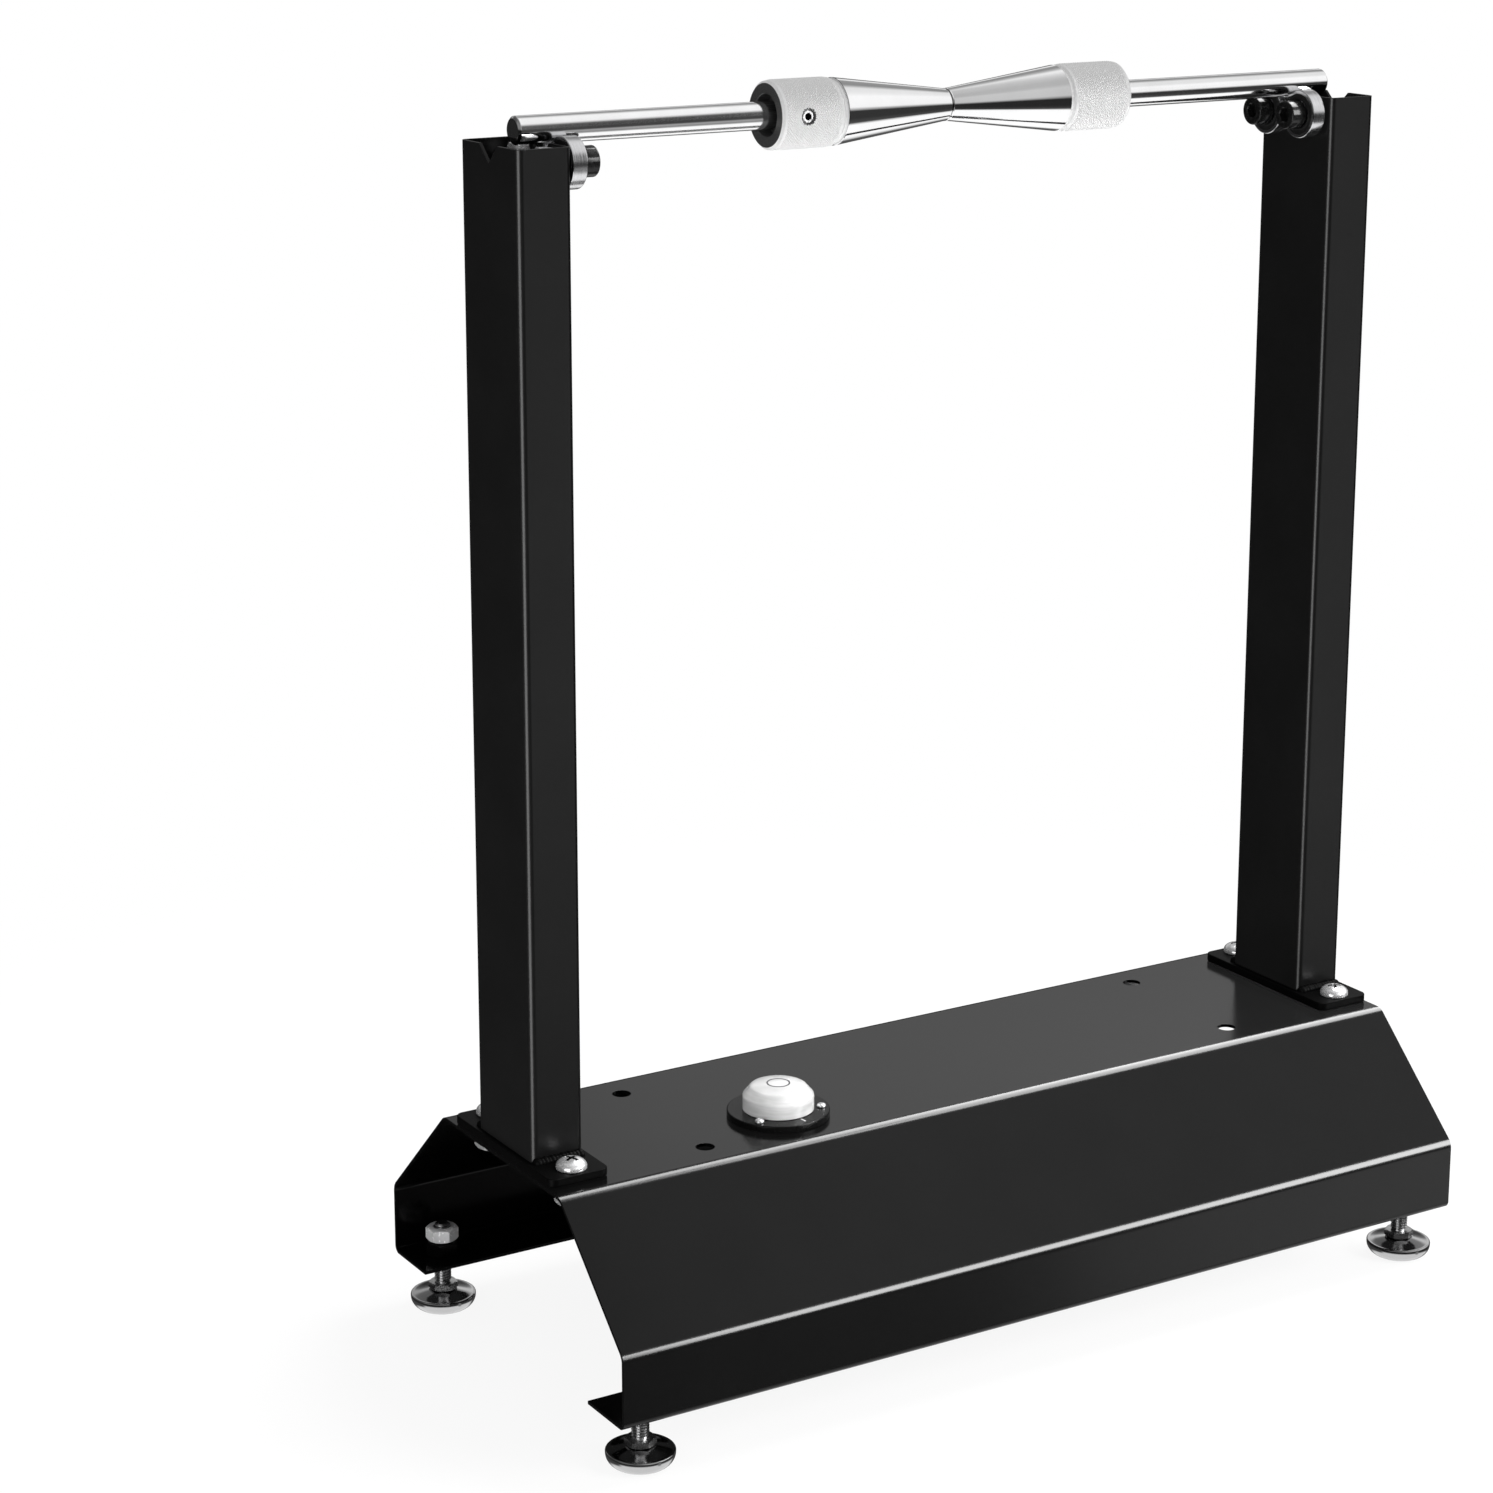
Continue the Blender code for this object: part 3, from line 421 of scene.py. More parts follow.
# The dull turned steel of the collars' ends and bores, painted darker as shade there and in the set-screw
# holes
machinedAndShadeFinish = finish(
    "machinedSteelAndShade", grey(0.10), 0.5, 0.45, tint=(grey(0.06), grey(0.15)),
    rough=(0.38, 0.52), bump=(0.000006, 0.3), grains=3 * [(2200, 2, (0.05, 1, 1))],
)
steelFinish = finish(
    "bearingSteel", (0.66, 0.66, 0.67), 1.0, 0.2, tint=((0.60, 0.60, 0.61), (0.72, 0.72, 0.73)),
    rough=(0.14, 0.28), bump=(0.000004, 0.3), grains=3 * [(2600, 2, (1, 0.03, 0.03))],
)
# Black oxide of the bearing bolts, also laid in the screws' recesses and sockets as painted shade
oxideAndShadeFinish = finish(
    "blackOxideAndShade", grey(0.006), 0.0, 0.16, tint=(grey(0.004), grey(0.009)), rough=(0.12, 0.20),
    bump=(0.00001, 0.3), grains=[(500, 3), (500, 3), (2500, 2)], Specular_IOR_Level=0.24,
)
rubberFinish = finish(
    "sealRubber", grey(0.012), 0.0, 0.6, tint=(grey(0.005), grey(0.009)), rough=(0.5, 0.7),
    bump=(0.00001, 0.4), grains=3 * [(1800, 3)], Specular_IOR_Level=0.3,
)
anodisedFinish = finish(
    "blackAnodised", grey(0.004), 0.0, 0.22, tint=(grey(0.003), grey(0.006)), rough=(0.18, 0.28),
    bump=(0.000008, 0.3), grains=3 * [(1400, 3)], Specular_IOR_Level=0.12,
)
acrylicFinish = finish(
    "clearAcrylic", grey(0.97), 0.0, 0.05, tint=(grey(0.74), grey(0.94)), rough=(0.02, 0.06),
    grains=[(60, 2, (1, 1, 7)), (300, 2)], IOR=1.45, Transmission_Weight=0.45,
)
fluidFinish = finish(
    "milkyFluid", grey(0.95), 0.0, 0.25, tint=(grey(0.93), grey(0.97)), rough=(0.2, 0.3),
    grains=[(120, 2, (1, 1, 5)), (200, 2)], Specular_IOR_Level=0.3,
)
inkFinish = finish(
    "markInk", (0.05, 0.05, 0.055), 0.0, 0.5, tint=((0.04, 0.04, 0.045), (0.09, 0.09, 0.095)),
    grains=[(900, 2)],
)
print("materials made")


# Base

def foldedLine(corners, radii, steps, wall):
    # Both faces of a sheet bent along the corners, as one closed outline
    outer, inner = [], []

    def keep(point, out):
        outer.append((point.x, point.y))
        inner.append((point.x - out.x * wall, point.y - out.y * wall))

    def outward(start, end):
        run = (end - start).normalized()
        return Vector((run.y, -run.x))

    corners = [Vector(corner) for corner in corners]
    keep(corners[0], outward(corners[0], corners[1]))
    for before, corner, after, radius in zip(corners, corners[1:], corners[2:], radii):
        back = (before - corner).normalized()
        ahead = (after - corner).normalized()
        half = back.angle(ahead) / 2
        centre = corner + (back + ahead).normalized() * radius / math.sin(half)
        start = corner + back * radius / math.tan(half) - centre
        sweep = start.angle_signed(corner + ahead * radius / math.tan(half) - centre)
        for step in range(steps + 1):
            spoke = Matrix.Rotation(-sweep * step / steps, 2) @ start
            keep(centre + spoke, spoke.normalized())
    keep(corners[-1], outward(corners[-2], corners[-1]))
    return outer + inner[::-1]


def buildBase():
    sizes = dict(
        sheet=0.0015, fold=0.0070, flangeFold=0.0035, foldSteps=10, topWidth=0.108, slantOut=0.0535,
        skirt=0.033, flange=0.031, edge=0.0003, spareX=0.144, rowY=0.037, holeDepth=0.01, boreDepth=0.003,
        weldNut=0.014, weldNutHeight=0.0065, weldSunk=0.0001, weldTurn=30,
    )
    lowest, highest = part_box("base_channel")
    half, flange, flangeFold = sizes["topWidth"] / 2, sizes["flange"], sizes["flangeFold"]
    side = half + sizes["slantOut"]
    foldZ = lowest.z + sizes["skirt"]
    corners = [
        (side - flange, lowest.z), (side, lowest.z), (side, foldZ), (half, highest.z),
        (-half, highest.z), (-side, foldZ), (-side, lowest.z), (-side + flange, lowest.z),
    ]
    radii = [flangeFold] + 4 * [sizes["fold"]] + [flangeFold]
    outline = foldedLine(corners, radii, sizes["foldSteps"], sizes["sheet"])
    sheet = drawnAlongX(outline, lowest.x, highest.x)
    tools = []
    for place, (sideName, rowName) in places.items():
        x, y = sideSigns[sideName], rowSigns[rowName]
        for holeX in (abs(middle("column_screw_right_front").x), sizes["spareX"]):
            hole = rod(m8["hole"], highest.z - sizes["holeDepth"], highest.z + overrun, sides=40)
            tools.append(moved(hole, at(x * holeX, y * sizes["rowY"], 0)))
        foot = middle(f"foot_stud_{place}")
        bore = rod(m8["thread"], lowest.z - overrun, lowest.z + sizes["boreDepth"])
        tools.append(moved(bore, at(*foot.xy, 0)))
    sheet = carved(sheet, tools)
    softened(
        sheet, sizes["edge"], sharper=60,
        pick=lambda edge: min(abs(abs(v.co.x) - highest.x) for v in edge.verts) < hair
        or abs(edge.verts[0].co.z - highest.z) < hair,
    )
    piece("baseChannel", sheet, baseCoat, "stand", ["base_channel"], smooth=25)
    seat = lowest.z + sizes["sheet"] - sizes["weldSunk"]
    for place in places:
        foot = middle(f"foot_stud_{place}")
        nut = hexNut(sizes["weldNut"], sizes["weldNutHeight"])
        moved(nut, at(*foot.xy, seat) @ turned(sizes["weldTurn"]))
        piece(f"footWeldNut_{place}", nut, baseCoat, "stand", ())


# Columns

def buildColumn(side):
    sizes = dict(
        wall=0.0015, corner=0.0030, notch=0.016, notchDepth=0.0075, below=0.0001, edge=0.0003,
        holeReach=0.004,
    )
    node = f"column_{side}"
    lowest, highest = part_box(node)
    centre = middle(node)
    width, depth = highest.x - lowest.x, highest.y - lowest.y
    wall, corner, notchDepth, reach = some(sizes, "wall corner notchDepth holeReach")
    tube = raised(roundedOutline(width, depth, corner), lowest.z, highest.z)
    inside = roundedOutline(width - 2 * wall, depth - 2 * wall, corner - wall)
    spread = sizes["notch"] / 2 * (1 + overrun / notchDepth)
    notch = drawnAlongX([(0, -notchDepth), (spread, overrun), (-spread, overrun)], -width, width)
    tools = [moved(notch, at(0, 0, highest.z))]
    for row in rowSigns:
        bolt = middle(f"bearing_bolt_{side}_{row}")
        hole = rod(m8["hole"], -reach, reach)
        tools.append(moved(hole, at(-sideSigns[side] * width / 2, *bolt.yz) @ alongX))
    tube = carved(tube, [raised(inside, lowest.z - overrun, highest.z + overrun)])
    tube = carved(tube, tools)
    floor = highest.z - notchDepth - sizes["below"]
    softened(tube, sizes["edge"], sharper=60, pick=lambda edge: min(v.co.z for v in edge.verts) > floor)
    moved(tube, at(*centre.xy, 0))
    piece(f"column_{side}_tube", tube, columnCoat, "stand", [node], smooth=25)


def buildFootPlate(side):
    sizes = dict(
        corner=0.0040, edge=0.0006, thickness=0.004, leg=0.0036, ripples=13, inset=0.0015, out=0.12,
        uneven=(0.86, 1.04), shares=(0.62, 0.86, 0.80), lean=22, seeds={"left": 7, "right": 11},
    )
    node = f"foot_plate_{side}"
    lowest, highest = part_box(node)
    centre = middle(node)
    outline = roundedOutline(highest.x - lowest.x, highest.y - lowest.y, sizes["corner"])
    top = lowest.z + sizes["thickness"]
    plate = raised(outline, lowest.z, top)
    tools = [
        moved(rod(m8["hole"], lowest.z - overrun, top + overrun, sides=40),
              at(0, middle(f"column_screw_{side}_{row}").y, 0))
        for row in rowSigns
    ]
    plate = softened(carved(plate, tools), sizes["edge"], segments=3, sharper=60)
    moved(plate, at(*centre.xy, 0))
    piece(f"footPlate_{side}", plate, plateCoat, "stand", [node], smooth=25)
    columnLow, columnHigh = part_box(f"column_{side}")
    start = columnLow.x + sizes["inset"]
    span = columnHigh.x - columnLow.x - 2 * sizes["inset"]
    rng = random.Random(sizes["seeds"][side])
    for row, sign in rowSigns.items():
        faceY = columnHigh.y if sign > 0 else columnLow.y
        blobs = []
        for step in range(sizes["ripples"]):
            blob = bmesh.new()
            bmesh.ops.create_icosphere(blob, subdivisions=2, radius=1)
            x = start + span * (step + 0.5) / sizes["ripples"]
            size = sizes["leg"] * rng.uniform(*sizes["uneven"])
            shape = Matrix.Diagonal((*(size * share for share in sizes["shares"]), 1))
            spot = at(x, faceY + sign * size * sizes["out"], top)
            blobs.append(moved(blob, spot @ turned(sizes["lean"]) @ shape))
        bead = together(blobs)
        piece(f"weldBead_{side}_{row}", bead, plateCoat, "stand", (), smooth=60)


def crossRecess(length, width, bottom, top):
    # A tapered cross, narrower at its floor
    mouth, floor = 1.12, 0.62
    arms = []
    for turn in (0, 90):
        arm = bmesh.new()
        bmesh.ops.create_cube(arm, size=1)
        for vert in arm.verts:
            share, height = (mouth, top) if vert.co.z > 0 else (floor, bottom)
            vert.co = Vector((vert.co.x * length * share, vert.co.y * width * share, height))
        arms.append(moved(arm, turned(turn)))
    return carved(arms[0], [arms[1]], "UNION")


def buildColumnScrews():
    sizes = dict(
        head=0.00675, rim=0.0008, height=0.0046, steps=12, fullness=0.8, edge=0.0003, cross=0.0070,
        crossWidth=0.0016, crossDepth=0.0026, shadeDepth=0.0027, shadeReach=0.0036, shadeTilt=0.3,
        shankIn=0.0005, lead=0.0004, runout=0.002, turns={"left": 24, "right": 63},
    )
    radius, rim = sizes["head"], sizes["rim"]
    dome = sizes["height"] - rim
    for place, (side, _) in places.items():
        node = f"column_screw_{place}"
        lowest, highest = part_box(node)
        centre = middle(node)
        top, seat = highest.z, highest.z - sizes["height"]
        curve = [(0, seat), (radius, seat), (radius, seat + rim)]
        for step in range(1, sizes["steps"]):
            angle = math.pi / 2 * step / sizes["steps"]
            away = radius * math.cos(angle) ** sizes["fullness"]
            curve.append((away, seat + rim + dome * math.sin(angle)))
        head = softened(spun(curve + [(0, top)], sides=56), sizes["edge"], sharper=50)
        cross = crossRecess(sizes["cross"], sizes["crossWidth"], top - sizes["crossDepth"], top + overrun)
        head = carved(head, [cross])
        shank = threadedShank(
            lowest.z, seat + sizes["shankIn"], lowest.z + sizes["lead"], seat - sizes["runout"],
        )
        body = moved(together([head, shank]), at(*centre.xy, 0) @ turned(sizes["turns"][side]))
        item = piece(f"columnScrew_{place}", body, zincFinish, "stand", [node], smooth=34)
        item.data.materials.append(oxideAndShadeFinish)
        # Painted shade: the faces down in the cross recess take the black oxide
        for face in item.data.polygons:
            deep = face.center.z > top - sizes["shadeDepth"] and face.normal.z < sizes["shadeTilt"]
            if deep and (face.center.xy - centre.xy).length < sizes["shadeReach"]:
                face.material_index = 1
        node = f"column_nut_{place}"
        lowest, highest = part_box(node)
        nut = hexNut(m8["flats"], highest.z - lowest.z, (highest.x - lowest.x) / 2)
        moved(nut, at(*centre.xy, highest.z) @ upsideDown)
        piece(f"columnNut_{place}", nut, zincFinish, "stand", [node])


# Feet

def buildPad(place):
    sizes = dict(
        base=0.010, baseEdge=0.0008, rim=0.015, rimLow=0.0054, rimHigh=0.0068, lip=0.0007, steps=10,
        fullness=0.9, dishIn=0.0018, dishDrop=0.0001, land=0.0068, landEdge=0.0003, sag=0.0002,
        socket=0.003,
    )
    node = f"foot_pad_{place}"
    centre, top = middle(node), high(node).z
    base, rim, rimLow, rimHigh, lip, land, sag = some(sizes, "base rim rimLow rimHigh lip land sag")
    bowl = [(0, 0), (base - sizes["baseEdge"], 0)]
    for step in range(sizes["steps"] + 1):
        angle = math.pi / 2 * step / sizes["steps"]
        rise = (1 - math.cos(angle)) ** sizes["fullness"]
        bowl.append((base + (rim - base) * math.sin(angle), rimLow * rise))
    bowl += arcPoints((rim - lip, (rimLow + rimHigh) / 2), lip, 0, math.pi / 2, 4)
    socket, floor = m8["thread"], top - sizes["socket"]
    dished = [
        (rim - sizes["dishIn"], rimHigh - sizes["dishDrop"]),
        ((rim + land) / 2, (rimHigh + top) / 2 - sag), (land, top - sag),
        (land - sizes["landEdge"], top), (socket, top), (socket, floor), (0, floor),
    ]
    pad = moved(spun(bowl + dished, sides=72), at(*centre.xy, 0))
    piece(f"footPad_{place}", pad, padChrome, f"foot_{place}", [node], smooth=40)


def buildStud(place):
    sizes = dict(
        flats=0.012, height=0.0032, corner=0.00693, inset=0.00113, rise=0.0006, gap=0.0003,
        threadUp=0.003, lead=0.0004,
    )
    node = f"foot_stud_{place}"
    centre, top = middle(f"foot_pad_{place}"), high(node).z
    hexLow = high(f"foot_pad_{place}").z + sizes["gap"]
    height = sizes["height"]
    hexagon = chamfered(sizes["corner"], 0, height, sizes["inset"], sizes["rise"], sides=48)
    hexagon = carved(hexagon, [hexPrism(sizes["flats"], -overrun, height + overrun)], "INTERSECT")
    shank = threadedShank(low(node).z, top, hexLow + sizes["threadUp"], top - sizes["lead"])
    stud = together([moved(hexagon, at(0, 0, hexLow)), shank])
    moved(stud, at(*centre.xy, 0))
    piece(f"footStud_{place}", stud, studChrome, f"stud_{place}", [node])
    node = f"foot_lock_nut_{place}"
    lowest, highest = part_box(node)
    nut = moved(hexNut(m8["flats"], highest.z - lowest.z), at(*centre.xy, lowest.z))
    piece(f"footLockNut_{place}", nut, lockFinish, "stand", [node])


# Bearings

def buildBearing(place, spot):
    sizes = dict(
        half=0.0035, outer=0.011, shoulder=0.0093, round=0.0005, lip=0.0064, inset=0.0003, seal=0.0005,
        lipEdge=0.0001, lipIn=0.0002, beadEnd=0.0007, grooveIn=0.0009, grooveOut=0.0009, beadOut=0.0006,
        groove=0.0002,
    )
    half, outer, shoulder, lip = some(sizes, "half outer shoulder lip")
    roller = f"roller_{place}"
    ring = spun([(shoulder, -half), (outer, -half), (outer, half), (shoulder, half)], sides=96, ring=True)
    softened(ring, sizes["round"], 3, 60, lambda edge: edge.verts[0].co.xy.length > outer - hair)
    piece(f"bearingRing_{place}", moved(ring, spot), steelFinish, roller, [f"bearing_outer_{place}"])
    face = half - sizes["inset"]
    back, floor = face - sizes["seal"], face - sizes["groove"]
    profile = [
        (lip, back), (lip, face - sizes["lipEdge"]), (lip + sizes["lipIn"], face),
        (lip + sizes["beadEnd"], face), (lip + sizes["grooveIn"], floor),
        (shoulder - sizes["grooveOut"], floor), (shoulder - sizes["beadOut"], face), (shoulder, face),
        (shoulder, back),
    ]
    seal = moved(spun(profile, sides=72, ring=True), spot)
    piece(f"bearingSeal_{place}", seal, rubberFinish, roller, [f"bearing_seal_{place}"])
    seal = moved(spun(profile, sides=72, ring=True), spot @ upsideDown)
    piece(f"bearingRearSeal_{place}", seal, rubberFinish, roller, ())
    dress(f"bearing_inner_{place}", steelFinish)
    dress(f"bearing_balls_{place}", steelFinish)


def buildBolt(place, sign, centre, inward):
    sizes = dict(
        head=0.0065, tall=0.008, lowEdge=0.0004, round=0.0008, ribs=30, ribTop=0.0018, ribFrom=0.0003,
        ribTo=0.0017, ribIn=0.0005, ribShare=0.968, socket=0.006, socketDepth=0.004, mouth=0.0031,
        mouthDepth=0.0004, mouthOut=0.0045, shankIn=0.0005, lead=0.0004, threadEnd=0.010,
    )
    node = f"bearing_bolt_{place}"
    lowest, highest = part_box(node)
    head, tall, corner, lowEdge = some(sizes, "head tall round lowEdge")
    around = 2 * sizes["ribs"]
    length = highest.x - lowest.x - tall
    rim = arcPoints((head - corner, tall - corner), corner, 0, math.pi / 2, 4)
    knob = spun(
        [(0, 0), (head - lowEdge, 0), (head, lowEdge), (head, tall - sizes["ribTop"])] + rim[:-1]
        + [(head - corner, tall), (0, tall)],
        around,
    )
    for vert in knob.verts:
        turn = math.atan2(vert.co.y, vert.co.x) / math.tau * around
        ribbed = round(turn) % 2 and sizes["ribFrom"] < vert.co.z < tall - sizes["ribTo"]
        if ribbed and vert.co.xy.length > head - sizes["ribIn"]:
            vert.co.x *= sizes["ribShare"]
            vert.co.y *= sizes["ribShare"]
    socket = hexPrism(sizes["socket"], tall - sizes["socketDepth"], tall + overrun)
    floor, over = tall - sizes["mouthDepth"], tall + overrun
    mouth = spun([(0, floor), (sizes["mouth"], floor), (sizes["mouthOut"], over), (0, over)], sides=32)
    knob = carved(knob, [carved(socket, [mouth], "UNION")])
    shank = threadedShank(-length, sizes["shankIn"], -length + sizes["lead"], -sizes["threadEnd"])
    headX = lowest.x if sign > 0 else highest.x
    bolt = moved(together([knob, shank]), at(headX + sign * tall, *centre.yz) @ inward)
    piece(f"bearingBolt_{place}", bolt, oxideAndShadeFinish, "stand", [node], smooth=38)
    node = f"bearing_nut_{place}"
    lowest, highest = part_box(node)
    nut = moved(hexNut(m8["flats"], highest.x - lowest.x), at(lowest.x, *centre.yz) @ alongX)
    piece(f"bearingNut_{place}", nut, zincFinish, "stand", [node])


# Axle and cones

def buildAxle():
    sizes = dict(chamfer=0.0010, edge=0.00015)
    lowest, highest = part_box("axle_rod")
    centre, chamfer = middle("axle_rod"), sizes["chamfer"]
    radius, length = (highest.z - lowest.z) / 2, highest.x - lowest.x
    shaft = softened(chamfered(radius, 0, length, chamfer, chamfer, sides=96), sizes["edge"])
    moved(shaft, at(lowest.x, *centre.yz) @ alongX)
    piece("axleRod", shaft, groundChrome, "axle", ["axle_rod"])


def knurl(body, bandLow, bandHigh, inner, valley, depth):
    # Turns the squares of a band into diamonds and raises each to a point
    def inBand(face):
        return bandLow < face.calc_center_median().z < bandHigh

    near = 0.0004
    band = [face for face in body.faces if inBand(face) and face.calc_center_median().xy.length > inner]
    banded = set(band)
    oldEdges = [edge for edge in body.edges if banded.issuperset(edge.link_faces)]
    bmesh.ops.poke(body, faces=band)
    bmesh.ops.dissolve_edges(body, edges=oldEdges, use_verts=False)
    diamonds = [
        face for face in body.faces
        if len(face.verts) == 4 and inBand(face)
        and abs(face.calc_center_median().xy.length - valley) < near
    ]
    bmesh.ops.poke(body, faces=diamonds, offset=depth)
    facingOut(body)


def buildCone(side):
    sizes = dict(
        tip=0.0071, tipEdge=0.0003, land=0.0008, big=0.0145, bigEdge=0.0002, length=0.058, neck=0.01375,
        neckWidth=0.0015, collar=0.015, chamfer=0.0010, counterbore=0.009, counterboreDepth=0.006,
        mouthEdge=0.0003, bore=0.0063, around=72, rows=22, knurlDepth=0.00042, plainEnd=0.0012,
        screwHole=0.0031, screwFromEnd=0.0125, holeFrom=0.004, sinkFrom=0.0142, sink=0.0006, holeTo=0.02,
        holeRim=0.0005, boreRim=0.001,
    )
    node = f"cone_{side}"
    lowest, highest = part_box(node)
    centre = middle(node)
    total = highest.x - lowest.x
    tip, big, length, neck, chamfer = some(sizes, "tip big length neck chamfer")
    bore, counterbore, edge, bigEdge = some(sizes, "bore counterbore mouthEdge bigEdge")
    neckEnd = length + sizes["neckWidth"]
    bandLow = neckEnd + chamfer + sizes["plainEnd"]
    bandHigh = total - chamfer - sizes["plainEnd"]
    valley = sizes["collar"] - sizes["knurlDepth"]
    floor = total - sizes["counterboreDepth"]
    rows = sizes["rows"]
    profile = [
        (bore, 0), (tip - sizes["tipEdge"], 0), (tip, sizes["tipEdge"]), (tip, sizes["land"]),
        (big, length - bigEdge), (big - bigEdge, length), (neck, length), (neck, neckEnd),
        (valley - chamfer, neckEnd), (valley, neckEnd + chamfer),
        *[(valley, bandLow + (bandHigh - bandLow) * row / rows) for row in range(rows + 1)],
        (valley, total - chamfer), (valley - chamfer, total), (counterbore + edge, total),
        (counterbore, total - edge), (counterbore, floor), (bore, floor),
    ]
    body = spun(profile, sizes["around"], ring=True)
    knurl(body, bandLow, bandHigh, neck, valley, sizes["knurlDepth"])
    mouth, sink, holeFrom, sinkFrom, holeTo = some(sizes, "screwHole sink holeFrom sinkFrom holeTo")
    wide = mouth + sink
    hole = spun(
        [
            (0, holeFrom), (mouth, holeFrom), (mouth, sinkFrom), (wide, sinkFrom + sink), (wide, holeTo),
            (0, holeTo),
        ],
        sides=40,
    )
    screwAt = total - sizes["screwFromEnd"]
    body = carved(body, [moved(hole, at(0, 0, screwAt) @ alongMinusY)])
    sign = sideSigns[side]
    outward = upsideDown @ alongX if sign > 0 else alongMinusX
    tipX = lowest.x if sign > 0 else highest.x
    moved(body, at(tipX, *centre.yz) @ outward)
    item = piece(f"cone_{side}_turned", body, turnedChrome, node, [node], smooth=28)
    item.data.materials.append(knurlFinish)
    item.data.materials.append(machinedAndShadeFinish)
    # Painted shade: the collar's end face, counterbore, bore and set-screw hole take the dark steel
    for face in item.data.polygons:
        along = abs(face.center.x - tipX)
        y, z = face.center.y - centre.y, face.center.z - centre.z
        inHole = math.hypot(along - screwAt, z) < mouth + sizes["holeRim"] and y * sign > 0
        inBore = along > length and math.hypot(y, z) < neck - sizes["boreRim"]
        if along > total - hair or inHole or inBore:
            face.material_index = 2
        elif along > length + hair:
            face.material_index = 1


def buildSetScrew(side):
    sizes = dict(
        radius=0.0029, point=0.0006, edge=0.0005, socket=0.003, socketDepth=0.0032, shadeReach=0.0017,
    )
    node = f"set_screw_{side}"
    lowest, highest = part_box(node)
    spot, length = middle(node), highest.y - lowest.y
    radius, point, edge = some(sizes, "radius point edge")
    screw = spun(
        [
            (0, 0), (radius - point, 0), (radius, point), (radius, length - edge),
            (radius - edge, length), (0, length),
        ],
        sides=36,
    )
    screw = carved(screw, [hexPrism(sizes["socket"], length - sizes["socketDepth"], length + overrun)])
    inner, outward = {"left": (highest.y, alongMinusY), "right": (lowest.y, alongY)}[side]
    moved(screw, at(spot.x, inner, spot.z) @ outward)
    item = piece(f"setScrew_{side}", screw, zincFinish, node, [node])
    item.data.materials.append(oxideAndShadeFinish)
    # Painted shade: the faces of the hex socket take the black oxide
    for face in item.data.polygons:
        if math.hypot(face.center.x - spot.x, face.center.z - spot.z) < sizes["shadeReach"]:
            face.material_index = 1


# Level

def buildLevelFlange(centre, seat, thickness):
    sizes = dict(spigot=0.0137, spigotRise=0.0008, edge=0.0006, hole=0.0016, holeEdge=0.00012)
    lowest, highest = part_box("level_base")
    radius, edge, spigot = (highest.x - lowest.x) / 2, sizes["edge"], sizes["spigot"]
    top = thickness + sizes["spigotRise"]
    plate = spun(
        [
            (0, 0), (radius, 0), *arcPoints((radius - edge, thickness - edge), edge, 0, math.pi / 2, 4),
            (spigot, thickness), (spigot, top), (0, top),
        ],
        sides=96,
    )
    tools = []
    for number in (1, 2, 3):
        screw = middle(f"level_screw_{number}")
        hole = rod(sizes["hole"], -overrun, thickness + overrun, sides=24)
        tools.append(moved(hole, at(screw.x - centre.x, screw.y - centre.y, 0)))
    plate = softened(carved(plate, tools), sizes["holeEdge"], segments=1, sharper=40)
    moved(plate, at(*centre.xy, seat))
    piece("levelFlange", plate, anodisedFinish, "stand", ["level_base"])


def buildLevelVial(centre):
    sizes = dict(
        shoulder=0.0125, sideTop=0.0064, shoulderTop=0.0104, wall=0.0020,
        crown=((0, 0), (0.5, 0.0004), (0.85, 0.0010)), edge=0.0006, edgeFrom=0.003,
        bubble=((0, 0.0012), (0.002, 0.0009), (0.0036, 0.0004), (0.004, 0)), shrink=0.0004, drop=0.0014,
        ring=(0.0046, 0.0053), ringHeight=0.00022, ringSunk=0.00045,
    )
    lowest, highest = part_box("level_vial")
    outside, height = (highest.x - lowest.x) / 2, highest.z - lowest.z
    shoulder, sideTop, shoulderTop, wall = some(sizes, "shoulder sideTop shoulderTop wall")
    vial = spun(
        [
            *[(shoulder * share, height - fall) for share, fall in sizes["crown"]],
            (shoulder, shoulderTop), (outside, sideTop), (outside, 0), (outside - wall, 0),
            (outside - wall, sideTop - wall / 2), (shoulder - wall, shoulderTop - wall),
            (0, height - wall),
        ],
        sides=96,
    )
    softened(vial, sizes["edge"], 3, 12, lambda edge: edge.verts[0].co.z > sizes["edgeFrom"])
    moved(vial, at(*centre.xy, lowest.z))
    piece("levelVial", vial, acrylicFinish, "stand", ["level_vial"], smooth=40)
    fluidLow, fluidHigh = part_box("level_fluid")
    radius, top = (fluidHigh.x - fluidLow.x) / 2, fluidHigh.z - fluidLow.z
    fluid = spun(
        [
            *[(out, top - fall) for out, fall in sizes["bubble"]],
            (shoulder - wall - sizes["shrink"], shoulderTop - wall - sizes["drop"]),
            (radius, sideTop - wall), (radius, 0), (0, 0),
        ],
        sides=72,
    )
    moved(fluid, at(*centre.xy, fluidLow.z))
    piece("levelFluid", fluid, fluidFinish, "stand", ["level_fluid"], smooth=40)
    inner, outer = sizes["ring"]
    tall = sizes["ringHeight"]
    ring = spun([(inner, 0), (outer, 0), (outer, tall), (inner, tall)], sides=64, ring=True)
    moved(ring, at(*centre.xy, highest.z - sizes["ringSunk"]))
    piece("levelRing", ring, inkFinish, "stand", ())


def buildLevelTick(centre, seat, thickness):
    sizes = dict(out=0.0183, tick=(0.0032, 0.0008, 0.0003), edge=0.0001, turn=-85)
    tick = bmesh.new()
    bmesh.ops.create_cube(tick, size=1)
    tick.transform(at(sizes["out"], 0, thickness) @ Matrix.Diagonal((*sizes["tick"], 1)))
    tick.transform(at(*centre.xy, seat) @ turned(sizes["turn"]))
    softened(tick, sizes["edge"], segments=1)
    piece("levelTick", tick, zincFinish, "stand", ())


